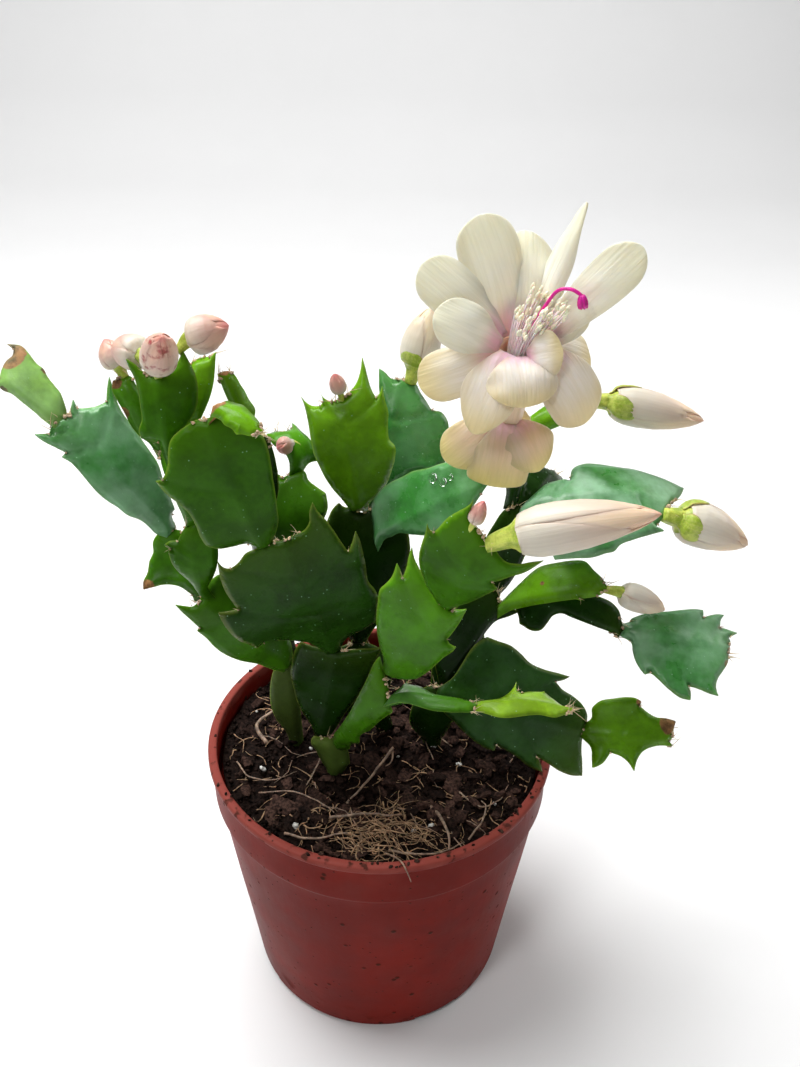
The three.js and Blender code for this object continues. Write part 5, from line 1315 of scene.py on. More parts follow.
         tone="fresh", shade=0.35, scars=((0.95, -3.5, 4.5), (0.6, -9, 2)),
         left=(0.06, 3.5, 0.08, 6.8, 0.14, 8.4, 0.3, 9.5, 0.43, 10, 0.54, 9.8, 0.6, 9.1, 0.59, 7.8,
               0.69, 6.1, 0.78, 5.1, 0.9, 4.8, 1.03, 4, 1.01, 2),
         right=(0.06, 3.4, 0.08, 6.4, 0.09, 8.4, 0.18, 7.2, 0.27, 4.4, 0.38, 4.9, 0.47, 6.2, 0.54, 8.3,
                0.57, 5.9, 0.64, 3.7, 0.8, 2.2, 1, 2.2, 0.96, 1.1)),
    grow("segment_right_rising", (28.6, 1, 118.6), on="stem_right", side=2, lift=-2.1, at=0.948, bow=0,
         tone="deep", shade=0.8,
         left=(0.09, 4.5, 0.33, 7.4, 0.56, 8, 0.77, 7.5, 0.93, 5.7, 1.06, 2.9, 1.05, 0.5),
         right=(0.13, 1.7, 0.35, 1.7, 0.51, 1.7, 0.67, 1.7, 0.8, 2.3, 0.89, 4, 1, 5.9, 0.99, 3.8)),
    grow("segment_right_folded", (51.3, -12, 131.2), on="segment_right_rising", side=1.1, lift=1.6,
         at=0.929, face=(-0.2, -0.6, 0.77), tone="fresh", shade=0.2, dust=0.05, scars=((0.45, -3, 1.2),),
         left=(0.14, 3.6, 0.28, 5.6, 0.41, 7.4, 0.57, 7.9, 0.71, 7.8, 0.83, 6.9, 0.89, 4.8, 0.96, 2.5),
         right=(0.2, 1.7, 0.33, 1.7, 0.46, 1.7, 0.58, 1.7, 0.64, 1.7, 0.69, 1.7, 0.73, 1.7, 0.79, 2.3,
                0.77, 1.7, 0.86, 1.7, 0.94, 1.3)),
    grow("segment_right_lobed", (58.1, -6, 115.2), on="segment_right_rising", side=3.1, lift=-1.1, at=1.093,
         tone="deep", shade=0.5,
         left=(0.09, 1.6, 0.2, 3.7, 0.32, 5.1, 0.44, 5.1, 0.57, 5.1, 0.68, 5.3, 0.81, 5, 0.9, 3.7,
               0.95, 1.8),
         right=(0.07, 5.8, 0.09, 7.5, 0.16, 8.1, 0.24, 8, 0.29, 7.2, 0.32, 5.3, 0.35, 2.8, 0.41, 1.7,
                0.5, 1.7, 0.63, 1.7, 0.76, 1.7, 0.89, 1.7, 0.98, 2.2)),
    grow("segment_right_glossy", (83.3, -8, 111.3), on="segment_right_lobed", side=0.2, at=0.994,
         face=(0.1, -0.5, 0.86), tone="blue", dust=0.85, scars=((0.9, -5, 1.6), (0.97, 4, 1.8)), ribbed=0.4,
         left=(0.05, 2.7, 0.05, 3.3, 0.11, 4.6, 0.25, 5.7, 0.39, 6.5, 0.52, 7.4, 0.65, 8.3, 0.72, 8.5,
               0.73, 6.7, 0.81, 7.8, 0.89, 8.6, 0.95, 8.8, 0.91, 6.9, 0.91, 5.3, 0.98, 5.3, 1.1, 5.2,
               1.02, 3.6, 1.02, 2),
         right=(0.05, 2.5, 0.07, 5, 0.09, 7.4, 0.13, 9.5, 0.17, 10.7, 0.22, 10, 0.3, 11.7, 0.39, 13.6,
                0.5, 14.9, 0.61, 15, 0.61, 13.3, 0.59, 11.7, 0.68, 12, 0.78, 12.6, 0.87, 12.8, 0.85, 10.5,
                0.87, 8.3, 0.92, 6.2, 0.98, 3.3)),
    # Rear right stem, with the arched segment and the rear bud
    grow("stem_rear_right", (22.5, 8, 106.3), root=(14, 12), tone="deep", shade=0.6,
         left=(0.24, 2.7, 0.62, 5.2, 0.9, 3.7),
         right=(0.41, 8.2, 0.77, 6.8, 0.98, 4.1)),
    grow("segment_rear_right_lower", (32.2, 5, 142.8), on="stem_rear_right", side=-0.1, tone="deep",
         shade=0.6,
         left=(0.19, 2.2, 0.4, 4.2, 0.61, 4.8, 0.81, 4.1, 0.95, 2.5),
         right=(0.2, 2.8, 0.47, 5.2, 0.69, 5.8, 0.87, 5.3, 0.97, 3.2)),
    grow("segment_right_arched", (66.9, 4, 144), on="segment_rear_right_lower", side=0.5, lift=1.2,
         at=0.963, face=(-0.2, -0.4, 0.9), bow=4, cup=-2.5, tone="blue", dust=1.2, ribbed=0.9,
         left=(0.07, 3.2, 0.15, 5.2, 0.24, 5.7, 0.31, 5.9, 0.34, 8.6, 0.41, 9.9, 0.51, 10.1, 0.65, 9.6,
               0.8, 9.4, 0.92, 8.4, 1.04, 7.8, 1.16, 7.3, 1.1, 4),
         right=(0.06, 4.4, 0.09, 8.1, 0.11, 10.9, 0.13, 13.3, 0.14, 15, 0.27, 15.2, 0.39, 15.1, 0.49, 14.2,
                0.56, 13.6, 0.59, 12.5, 0.69, 11, 0.79, 9.7, 0.92, 7.8, 0.88, 6.4, 0.93, 3.9)),
    grow("segment_right_rear", (41.5, 21, 143), on="segment_rear_right_lower", side=0.8, lift=-1.6, at=0.94,
         tone="deep", shade=0.5,
         left=(0.11, 3, 0.33, 4.7, 0.57, 4.8, 0.82, 2.8),
         right=(0.16, 1.7, 0.39, 2.7, 0.77, 3.7, 1.1, 3.3, 1.1, 1.6)),
    grow("segment_rear_stem", (31.3, 12, 156.1), on="segment_rear_right_lower", side=-1.8, lift=-0.4,
         at=0.96, tone="deep", shade=0.4,
         left=(0.18, 1.8, 0.42, 2.9, 0.7, 2.6, 0.93, 1.4),
         right=(0.2, 1.7, 0.45, 2.4, 0.73, 2.3, 0.94, 1.2)),
    grow("segment_rear_tip", (48.2, 17, 164.8), on="segment_rear_stem", at=0.972, tone="fresh",
         left=(0.22, 2.6, 0.48, 3.2, 0.75, 2.6, 0.93, 1.6),
         right=(0.04, 1.6, 0.27, 2.2, 0.53, 2.6, 0.78, 2.3, 0.96, 1.5)),
)

GROWN = {}


def apex_seat(row, tip, reach):
    """A row's seat on the apex it grows from, and that apex. A piece with a foot of the given reach that
    sets off across the segment starts that much further out."""
    blade = GROWN[row.on].blade
    apex = blade.point(row.at, row.side, row.lift)
    heading = unit(tip - apex)
    turned_away = math.sqrt(max(0.0, 1 - np.dot(heading, blade.along) ** 2))
    return apex + heading * 1.7 * GAP + blade.along * reach * turned_away, apex


def margin_points(row, sign):
    """One margin of a segment in millimetres (along, side), from the joint."""
    pairs = np.reshape(row.left if sign < 0 else row.right, (-1, 2)) * (row.blade.length, sign)
    return np.vstack([[(0, sign * JOINT_WIDTH / 2)], pairs])


def notches(points, sign):
    """The corners of a margin that turn into the segment: its areoles."""
    before, after = points[1:-1] - points[:-2], points[2:] - points[1:-1]
    cross = before[:, 0] * after[:, 1] - before[:, 1] * after[:, 0]
    turn = np.arctan2(cross, np.sum(before * after, axis=1))
    return points[1:-1][turn * sign > AREOLE_TURN]


def segment_blade(row, seed):
    tip = np.array(row.tip, float)
    if row.root:
        base = on_soil(*row.root, 1)
        pull = np.array((0, 0, -5.0))
    else:
        base, apex = apex_seat(row, tip, JOINT_WIDTH / 2 + GAP)
        pull = apex - base - GROWN[row.on].blade.along * 0.7
    wide = 2 * max(row.left[1::2] + row.right[1::2])
    return Blade(base, tip, row.face, wide=wide, bow=row.bow, cup=row.cup, phase=seed * 2.4, pull=pull)


def segment_shape(row, seed):
    plant = bpy.context.scene.cactus_plant
    row.blade = blade = segment_blade(row, seed)
    left, right = margin_points(row, -1), margin_points(row, 1)
    ring = eased(np.vstack([left, [(blade.length, 0)], right[::-1]]), MARGIN_SPACING)[::-1]
    ring[1:-1] = ring[1:-1] / 2 + (ring[:-2] + ring[2:]) / 4
    row.areoles = np.vstack([notches(left, -1), notches(right, 1)])
    row.ring = ring

    def vein(share, side):
        """1 along the grooves that run from the midrib out to the areoles."""
        flat = np.stack([share * blade.length, side], axis=1)
        groove = np.zeros_like(share)
        for along, across in row.areoles:
            t = np.linspace(0, 1, 7)[:, None]
            path = (1 - t) * (along - 0.55 * abs(across), 0) + t * (along, across)
            path[:, :1] -= 0.12 * abs(across) * t * (1 - t) * 4
            away = distance_to(path, flat)
            groove = np.maximum(groove, np.exp(-(away / 0.55) ** 2))
        return groove

    def half_thickness(share, side, depth):
        t = np.abs(side) / (np.abs(side) + depth + 1e-6)
        body = plant.margin + (plant.midrib - plant.margin) * (1 - t) ** 1.3
        rib = 0.55 * np.exp(-(side / 1.1) ** 2) * np.clip(1.25 - share, 0, 1)
        edge = np.sqrt(np.clip(1 - (1 - np.clip(depth / 0.45, 0, 1)) ** 2, 0, 1))
        return (body * (1.12 - 0.3 * share) + rib) * row.thick * edge / 2

    def relief(share, side):
        flat = np.stack([side / 9, share * blade.length / 9, np.full_like(side, seed * 3.7)], axis=-1)
        sway = wander(flat, 1.0, seed) * 0.55 + wander(flat, 0.28, seed + 50) * 0.1
        return sway * np.clip(3 * share, 0, 1) - row.ribbed * vein(share, side)

    part, share, side, depth = leaf_sheet(blade, ring, half_thickness, relief)
    rib = np.exp(-(side / 0.7) ** 2) * np.clip(1.1 - share, 0, 1)
    dry = 0.12 * np.exp(-(depth / 0.3) ** 2)
    for along, across, radius in row.scars:
        away = np.hypot((share - along) * blade.length, side - across)
        dry = np.maximum(dry, np.clip(1.6 - 1.8 * away / radius, 0, 1))
    values = {"edge": np.abs(side) / (np.abs(side) + depth + 1e-6), "reach": share,
              "vein": 0.9 * np.maximum(rib, vein(share, side)), "dry": dry,
              "dust": np.full_like(share, row.dust), "shade": np.full_like(share, row.shade)}
    return part, values


def build_segments():
    for seed, row in enumerate(SEGMENTS):
        GROWN[row.name] = row
        part, values = segment_shape(row, seed)
        shape = Shape("edge", "reach", "vein", "dry", "dust", "shade")
        shape.add(part, **values)
        slot = "stem" if row.name.startswith("stem") else "segment"
        name = "leaf_" + row.name.removeprefix("segment_")
        check_place(mesh_piece(name, shape, leaf_material(row.tone), slot, row.name), row.name)


def check_place(piece, node, slack=4.0):
    """Stops the script if a piece has strayed from the CAD node that it stands for."""
    points = np.array([vertex.co for vertex in piece.data.vertices])
    middle = np.sum(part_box(node), axis=0) / 2
    stray = np.linalg.norm((points.min(axis=0) + points.max(axis=0)) / 2 - middle) / MM
    if stray > slack:
        raise ValueError(f"{piece.name} has its middle {stray:.1f} mm from where the CAD has it")


def hair(draw, start, heading, length, thick=0.1):
    """A bristle that tapers and bends at random."""
    bend = draw.normal(size=3) * 0.18 * length
    path = [start, start + heading * length * 0.5 + bend * 0.3, start + heading * length + bend]
    return tube(through(path, 5), (thick, thick * 0.8, thick * 0.6, thick * 0.4, thick * 0.15), 4)


def build_areoles():
    """The felt and bristles at every apex, and the tufts in the notches between the teeth."""
    draw = np.random.default_rng(5)
    felt, bristles = Shape(), Shape()
    bearers = {row.on for row in SEGMENTS} | {row.on for row in BUDS}
    for row in SEGMENTS:
        blade = row.blade
        place = lambda flat, lift=0.0: blade.point(flat[0] / blade.length, flat[1], lift)
        top = row.ring[(row.ring[:, 0] > 0.9 * blade.length) & (np.abs(row.ring[:, 1]) < row.felted)]
        for _ in range(int(4 + 2 * row.felted) if row.name in bearers or row.hairs else 2):
            at = top[draw.integers(len(top))] - (draw.uniform(0, 0.5), 0)
            felt.add(lump(draw, place(at, draw.normal() * 0.3),
                          (draw.uniform(0.6, 1.2), draw.uniform(0.5, 0.9), 0.6), 2, 0.5))
        for _ in range(row.hairs):
            heading = unit(blade.along + 0.5 * draw.normal(size=3) + blade.out * draw.uniform(0, 0.7))
            bristles.add(hair(draw, place(top[draw.integers(len(top))]), heading, draw.uniform(1.4, 3.6)))
        for at in row.areoles:
            felt.add(lump(draw, place(at), (0.5, 0.42, 0.42), 2, 0.4))
            for _ in range(draw.integers(1, 4)):
                outward = np.sign(at[1]) * blade.across * 0.9
                heading = unit(blade.along + outward + 0.6 * draw.normal(size=3))
                bristles.add(hair(draw, place(at), heading, draw.uniform(0.7, 1.9), 0.07))
    plant = bpy.context.scene.cactus_plant
    mesh_piece("areole_felt", felt, thread_material("felt", tuple(plant.felt), 0.45, 0.95), "segment")
    mesh_piece("areole_bristles", bristles, thread_material("bristle", BRISTLE, 0.3, 0.45), "segment")


# --- Buds -------------------------------------------------------------------------------------------


def sprout(name, on, tip, radius, **given):
    return SimpleNamespace(**{"side": 0, "lift": 0, "at": 1, "bend": 0, "turn": 0, "pink": 0, "scales": 0,
                              "ripe": 1.0, "blemish": 0, "node": True, **given},
                           name=name, on=on, tip=tip, radius=radius)


# Every bud, as in the CAD: the segment that it sits on and its seat there (at, side and lift), its tip and
# its greatest radius. turn is about its axis, in radians. ripe moves its widest place along it. The last
# few are too small to have a CAD node.
BUDS = (
    sprout("bud_left_outer", "segment_left_bud_rear", (-56.8, -3, 184.8), 2.7, side=0.1, at=0.988,
           pink=0.7),
    sprout("bud_left_rear", "segment_left_bud_front", (-53.7, -6, 184.4), 3.3, side=-1.3, at=1.103,
           pink=0.8, turn=1),
    sprout("bud_left_front", "segment_left_bud_front", (-38.8, -27, 194.7), 3.3, at=1.011, pink=0.65,
           turn=2, blemish=1, ripe=0.85),
    sprout("bud_left_side", "segment_left_bud_front", (-29.4, -12, 191.6), 3.5, side=4.4, at=1.208,
           pink=0.7, turn=0.5),
    sprout("bud_rear", "segment_pale", (10.4, 22, 183.9), 4.2, side=1.9, turn=2.5, scales=2),
    sprout("bud_rear_right", "segment_rear_tip", (74.8, 16, 159.9), 4.2, side=0.2, at=0.96, pink=0.2,
           scales=2, ripe=0.85, turn=0.6),
    sprout("bud_front_long", "segment_front_bud", (51.3, -42, 168.7), 4.5, side=0.7, at=0.96, pink=0.25,
           turn=1.6, bend=0.8, ripe=0.82),
    sprout("bud_right", "segment_right_arched", (86.1, 2, 134.7), 4.9, side=3.2, at=0.941, pink=0.15,
           turn=0.7, bend=1.2, ripe=0.85, scales=2),
    sprout("bud_right_small", "segment_right_folded", (65.3, -11, 124.9), 2.9, at=0.989, pink=0.1,
           bend=0.4),
    sprout("bud_tiny_tall", "segment_tall", (-10.6, 6, 174.3), 1.7, side=-0.1, pink=0.9, node=False),
    sprout("bud_tiny_rear", "segment_rear_left_tip", (-24.9, 12.5, 152.6), 2.0, side=1.6, lift=0.6, at=0.5,
           pink=0.9, node=False, ripe=1.5),
    sprout("bud_tiny_front", "segment_front_bud", (19.8, -36, 167.3), 1.5, side=-3.4, pink=1, node=False),
)
# Half width of a bud along it: the green ovary at its foot, then the furled petals
BUD_PROFILE = [
    (0, 0.05), (0, 0.32), (0.08, 0.42), (0.15, 0.47), (0.18, 0.5), (0.21, 0.72), (0.27, 0.88),
    (0.36, 0.98), (0.48, 1.0), (0.62, 0.93), (0.76, 0.74), (0.88, 0.46), (0.96, 0.22), (1, 0.03),
]
# The petals furled round a bud: where each starts and ends along it, its angle, half width and lift
FURLED = (
    (0.19, 0.995, 0.0, 1.5, 0.06), (0.19, 0.985, 2.1, 1.45, 0.1), (0.19, 0.97, 4.2, 1.4, 0.14),
    (0.18, 0.9, 1.1, 1.2, 0.2), (0.18, 0.82, 3.2, 1.15, 0.23), (0.17, 0.72, 5.3, 1.05, 0.26),
)
# The green scales at a bud's foot, in the same terms
SCALES = ((0.13, 0.42, 1.5, 0.95, 0.5), (0.12, 0.36, 3.8, 0.8, 0.4), (0.13, 0.34, 5.4, 0.7, 0.4))


def bud_shape(row):
    reach = 0.3 * row.radius
    foot, apex = apex_seat(row, np.array(row.tip, float), reach)
    start = apex - GROWN[row.on].blade.along * 0.5
    axis = np.array(row.tip) - foot
    length = np.linalg.norm(axis)
    profile = np.array(BUD_PROFILE)
    shape = Shape("edge", "reach", "across", "green", "pink", "blemish")
    shared = {"pink": row.pink, "blemish": row.blemish}

    def radius(share):
        return np.interp(share ** row.ripe, profile[:, 0], profile[:, 1]) * row.radius

    def place(points, share):
        points = points + np.stack([np.zeros_like(share), row.bend * np.sin(math.pi * share),
                                    np.zeros_like(share)], axis=-1)
        points = along_axis(points, foot, axis)
        return points + np.clip(1 - share / 0.15, 0, 1)[..., None] ** 2 * (start - foot)

    stations = np.concatenate([[0, 0.001], np.linspace(0.02, 0.98, BUD_ROWS), [1]])
    turn = np.linspace(0, 2 * math.pi, BUD_SIDES, endpoint=False)
    share, around = np.meshgrid(stations, turn, indexing="ij")
    ribs = 1 + 0.07 * np.cos(OVARY_RIBS * around + row.turn) * (share < 0.22)
    out = np.where((share < 0.0005) | (share > 0.999), 0.03, radius(share) * 0.97) * ribs
    rings = np.stack([out * np.cos(around), out * np.sin(around), share * length], axis=-1)
    reach = share.ravel()
    shape.add(ringed(place(rings, share)), edge=0, reach=reach, across=(around * row.radius).ravel(),
              green=np.clip((0.24 - reach) * 12, 0, 1), **shared)
    share, t = np.meshgrid(np.linspace(0, 1, FURL_ROWS), np.linspace(-1, 1, FURL_COLUMNS), indexing="ij")
    edge = both_sides(np.maximum(np.abs(t), np.clip(share * 9 - 8, 0, 1))).ravel()
    for sheets, green in ((FURLED, 0), (SCALES[:row.scales], 1)):
        for first, last, angle, half, lift in sheets:
            around = angle + row.turn + t * half * np.clip(1 - share ** 2.6, 0.0004, 1) ** 0.62 + 0.35 * share
            station = first + (last - first) * share - 0.02 * np.abs(t) * (1 - share)
            grown = lift * row.radius * 0.22 * (1 + 0.4 * np.maximum(t, 0)) * (1 - 0.6 * share ** 2)
            middle = radius(station) + grown * np.clip(share * 6, 0.05, 1)
            thick = np.sqrt(np.clip(1 - t ** 8, 0, 1)) * np.clip((1 - share) * 8, 0.1, 1)
            faces = [middle + depth * row.radius * thick for depth in FURL_FACES]
            rings = both_sides(*(np.stack([out * np.cos(around), out * np.sin(around), station * length],
                                          axis=-1) for out in faces))
            reach = both_sides(station)
            shape.add(ringed(place(rings, reach)), edge=edge, reach=reach.ravel(),
                      across=both_sides(around).ravel() * row.radius,
                      green=np.clip(green * 1.6 - reach.ravel() * 1.3, 0, 1), **shared)
    return shape


def build_buds():
    for row in BUDS:
        if row.node:
            check_place(mesh_piece("furled_" + row.name, bud_shape(row), bud_material(), "bud", row.name),
                        row.name)
        else:
            mesh_piece(row.name, bud_shape(row), bud_material(), "bud")


# --- Flower -----------------------------------------------------------------------------------------


def petal(around, tip, wide, **shape):
    return SimpleNamespace(around=around, tip=tip, wide=wide,
                           **{"widest": 0.6, "blunt": 2.4, "bow": 0.15, "cup": -0.1, "face": (0, 0, 1),
                              "tone": None, **shape})


# Tepals in three whorls up the tube, as in the CAD: each whorl's name, its height up the tube and its
# tepals. around is where a tepal grows from, in degrees about the axis (0 right, 90 back), and tip is in
# millimetres in the flower's own directions: right, back and up. widest is how far along it is widest, and
# blunt rounds its end. face is the way its inner side looks. tone gives it the colours of another whorl.
WHORLS = (
    ("lower", 15, (
        petal(215, (-12.2, -5, 7.3), 9.5, blunt=3.4, face=(-0.3, -1, 0.4)),
        petal(262, (-1.8, -9, 4.4), 12.5, widest=0.72, blunt=8, bow=0.1, face=(0, -1, 0.4)),
        petal(308, (6.8, -7, 7.5), 11, widest=0.5, blunt=1.7, face=(0.3, -1, 0.4)),
        petal(80, (1.0, 8, 5.2), 10, blunt=2.6),
        petal(150, (-6.8, 4, 5.7), 9.5, blunt=2.6),
    )),
    ("middle", 29.3, (
        petal(196, (-18.8, -4, 24.9), 10, widest=0.62, blunt=3.4, bow=0.12, face=(-0.2, -1, 0.5)),
        petal(20, (15.2, 4, 26.1), 11, widest=0.58, face=(0.2, -0.8, 1)),
        petal(75, (8.2, 13, 17.7), 11.5),
        petal(135, (-11.0, 9, 19.2), 10.5, blunt=2.6),
    )),
    ("upper", 31.9, (
        petal(112, (-10.0, 10, 53.0), 12, widest=0.7, blunt=3.4, bow=0.1, face=(0.3, -1, 0.3)),
        petal(84, (-0.6, 13, 49.1), 12, widest=0.66, face=(0, -1, 0.3)),
        petal(60, (9.1, 8, 57.7), 6.5, widest=0.42, blunt=1.25, bow=0.05, cup=-0.24),
        petal(22, (19.3, 2, 52.9), 8.8, widest=0.74, blunt=2.6, bow=0.08, face=(-0.3, -1, 0.3)),
        petal(150, (-19.8, 4, 45.8), 10, widest=0.66, blunt=3.6, bow=0.1, face=(0.2, -1, 0.5)),
        petal(190, (-17.0, -2, 39.6), 9.5, blunt=3, bow=0.16, face=(0, -1, 0.7)),
        petal(1, (11.7, 5.5, 39.6), 8, blunt=2.2, bow=0.05, face=(-0.2, -1, 0.6)),
        petal(285, (6.9, -6.5, 35.8), 8.6, blunt=2.8, bow=0.16, face=(0.1, -1, 0.7), tone="middle"),
        petal(232, (-7.9, -11, 19.2), 10.8, widest=0.5, blunt=1.8, bow=0.14, face=(-0.25, -1, 0.5),
              tone="middle"),
        petal(262, (0.5, -12.5, 26.9), 13.5, widest=0.55, blunt=3.2, bow=0.2, face=(0.1, -1, 0.6),
              tone="middle"),
        petal(330, (13.8, -7.5, 20.5), 12.5, widest=0.58, blunt=2.8, bow=0.19, face=(0.45, -1, 0.6),
              tone="middle"),
        petal(68, (4.0, 16, 40.7), 9.5, bow=0.1),
    )),
)


def flower_axes():
    """The flower's foot, the apex under it, the length of its tube and its own directions."""
    foot, apex = apex_seat(FLOWER_SEAT, FLOWER_THROAT, NECK_RADIUS)
    axis = unit(FLOWER_THROAT - foot)
    right = unit(np.array((1, 0, 0)) - axis * axis[0])
    return SimpleNamespace(foot=foot, apex=apex, length=np.linalg.norm(FLOWER_THROAT - foot), axis=axis,
                           right=right, back=np.cross(axis, right))


def on_flower(flower, points):
    """Points made about Z, stood on the flower's foot along its axis."""
    return flower.foot + np.asarray(points) @ np.array([flower.right, flower.back, flower.axis])


def tube_radius(flower, height):
    """The outer radius of the flower's tube at a height up it."""
    share = height / flower.length
    ovary = OVARY_SWELL * np.exp(-(((height - OVARY_HEIGHT) / OVARY_REACH) ** 2))
    return NECK_RADIUS + ovary + (THROAT_RADIUS - NECK_RADIUS) * share * share


def petal_margin(row):
    """Rows of (share of the length, share of the full half width): a foot, a swelling side and an end."""
    share = np.concatenate([np.linspace(0, 0.82, TEPAL_ROWS - TEPAL_END_ROWS, endpoint=False),
                            1 - 0.18 * np.linspace(1, 0, TEPAL_END_ROWS) ** 1.6])
    rise = np.sin(math.pi / 2 * np.minimum(share / row.widest, 1))
    fall = np.clip((share - row.widest) / (1 - row.widest), 0, 1)
    out = (TEPAL_FOOT + (1 - TEPAL_FOOT) * rise) * (1 - fall ** row.blunt) ** 0.6
    return np.stack([share, np.maximum(out, 0.03)], axis=1)


def petal_shape(flower, height, row, seed):
    turn = math.radians(row.around)
    seat = tube_radius(flower, height) + 0.3
    outward = flower.right * math.cos(turn) + flower.back * math.sin(turn)
    base = on_flower(flower, (seat * math.cos(turn), seat * math.sin(turn), height + COLLAR_HEIGHT / 2))
    tip = on_flower(flower, row.tip)
    length = np.linalg.norm(tip - base)
    inner = np.array(row.face) @ np.array([flower.right, flower.back, flower.axis])
    blade = Blade(base, tip, inner, wide=row.wide, bow=length * row.bow, cup=row.wide * row.cup,
                  phase=seed * 1.9, pull=-outward * 0.8 - flower.axis * 0.6)
    t = np.array([-place for place in TEPAL_ACROSS[:0:-1]] + list(TEPAL_ACROSS))
    margin = petal_margin(row)
    share = np.repeat(margin[:, :1], len(t), axis=1)
    side = t * margin[:, 1:] * row.wide / 2
    edge = np.broadcast_to(np.abs(t), share.shape)
    half = (0.5 + 0.5 * (1 - edge) ** 2 * np.clip(1 - share, 0, 1)) * np.sqrt(1 - edge ** 10) / 2
    flat = np.stack([side / 5, share * length / 7, np.full_like(side, seed * 2.3)], axis=-1)
    keel = 0.35 * np.exp(-(side / 0.9) ** 2) * np.clip(1.2 - share, 0, 1)
    lift = 0.4 * wander(flat, 1.0, seed).reshape(side.shape) - keel
    rings = both_sides(blade.point(share, side, lift + half), blade.point(share, side, lift - half))
    shape = Shape("edge", "reach", "across")
    shape.add(ringed(rings), edge=both_sides(edge).ravel(), reach=both_sides(share).ravel(),
              across=both_sides(side).ravel())
    return shape


def build_flower():
    flower = flower_axes()
    heights = np.concatenate([[0], np.linspace(0.3, flower.length, 46)])
    outside = np.stack([np.where(heights == 0, 0.5, tube_radius(flower, heights)), heights], axis=1)
    inside = outside[heights >= TUBE_HOLLOW_FROM][::-1] - (TUBE_WALL, 0)
    profile = np.vstack([outside, inside, [(0.1, TUBE_HOLLOW_FROM)]])
    rings = turned(profile, TUBE_SIDES)
    around = np.linspace(0, 2 * math.pi, TUBE_SIDES, endpoint=False)
    rings[..., :2] *= (1 + 0.05 * np.cos(6 * around))[None, :, None]
    shape = Shape("edge", "reach", "across", "green", "pink", "blemish")
    points, faces = ringed(rings)
    reach = points[:, 2] / flower.length
    points = on_flower(flower, points)
    points += np.clip(1 - reach / 0.06, 0, 1)[:, None] * (flower.apex - flower.foot)
    shape.add((points, faces), edge=0, reach=0.3 + 0.25 * reach, across=np.tile(around * 4, len(profile)),
              green=np.clip((0.26 - reach) * 9, 0, 1), pink=0.3, blemish=0)
    mesh_piece("flower_neck", shape, bud_material(), "petal", "flower_tube")
    seed = 0
    for whorl, height, rows in WHORLS:
        for index, row in enumerate(rows):
            seed += 1
            mesh_piece(f"tepal_{whorl}_{index + 1}", petal_shape(flower, height, row, seed),
                       petal_material(row.tone or whorl), "petal", "tepals_" + whorl)


def brush_swing(height):
    """How far the brush has swung to the right at a height up the tube."""
    return BRUSH_SWING * np.maximum(0, height - BRUSH_SWINGS_FROM) ** 2


def stamens(flower, count):
    """The filaments, and the anther at the end of each."""
    draw = np.random.default_rng(23)
    filaments, anthers = Shape(), Shape()
    for _ in range(count):
        turn = draw.uniform(0, 2 * math.pi)
        spread = math.sqrt(draw.random())
        top = draw.uniform(*FILAMENT_TOPS)
        heights = np.linspace(TUBE_HOLLOW_FROM + 3, top, 12)
        grown = (heights - heights[0]) / (top - heights[0])
        out = 0.6 + spread * (0.9 + 3.2 * grown ** 2.4)
        local = np.stack([out * math.cos(turn) + brush_swing(heights), out * math.sin(turn), heights],
                         axis=1)
        local += 0.3 * grown[:, None] * draw.normal(size=3)
        path = on_flower(flower, local)
        filaments.add(tube(path, np.linspace(0.2, 0.12, len(path)), 5))
        heading = unit(path[-1] - path[-2] + 0.2 * draw.normal(size=3))
        points, faces = ball(2)
        points = points * (0.36, 0.36, 0.85) * (1 + 0.1 * np.sign(points[:, :1]))
        anthers.add((along_axis(points, path[-1] + heading * 0.3, heading), faces))
    return filaments, anthers


def style(flower):
    """The style, and the lobes of the stigma spread round its end."""
    local = [(brush_swing(height), -0.6, height) for height in STYLE_HEIGHTS]
    path = through(on_flower(flower, local + list(STYLE_END)), 50)
    shape = Shape()
    shape.add(tube(path, np.linspace(0.3, 0.36, len(path)), 10))
    heading = unit(path[-1] - path[-4])
    for lobe in range(STIGMA_LOBES):
        turn = lobe * 2 * math.pi / STIGMA_LOBES
        foot = along_axis((math.cos(turn) * 0.5, math.sin(turn) * 0.5, 0.2), path[-1], heading)
        points, faces = ball(2)
        tilt = unit(heading + 0.35 * (foot - path[-1]))
        shape.add((along_axis(points * (0.5, 0.5, 1.35), foot, tilt), faces))
    return shape


def build_brush():
    flower, settings = flower_axes(), bpy.context.scene.cactus_flower
    filaments, anthers = stamens(flower, settings.filaments)
    filament = thread_material("filament", FILAMENT, 0.1, 0.4, 0.4)
    pollen = thread_material("pollen", POLLEN, 0.15, 0.8, 0.3)
    magenta = thread_material("style_skin", tuple(settings.magenta), 0.2, 0.35, 0.2)
    mesh_piece("filaments", filaments, filament, "stamens", "stamens")
    mesh_piece("anthers", anthers, pollen, "stamens", "stamens")
    mesh_piece("style_and_stigma", style(flower), magenta, "style", "style")


# Water drops on the flowering segment: share of its length, millimetres across, radius
DROPS = ((0.65, -5.7, 1.2), (0.71, -3.9, 1.0), (0.77, -4.2, 0.8))


def build_drops():
    blade = GROWN["segment_flowering"].blade
    shape = Shape()
    for share, side, radius in DROPS:
        points, faces = ball(4)
        points = points * (radius, 0.9 * radius, radius)
        points[:, 2] *= np.where(points[:, 2] < 0, 0.25, 0.7)
        shape.add((along_axis(points, blade.point(share, side, 1.05), blade.out), faces))

    def build(graph, surface):
        graph.feed(surface["Roughness"], 0.02)

    water = finish("water", build, Transmission_Weight=1.0, IOR=1.333, Base_Color=(0.95, 1.0, 0.96))
    mesh_piece("water_drops", shape, water, "segment")


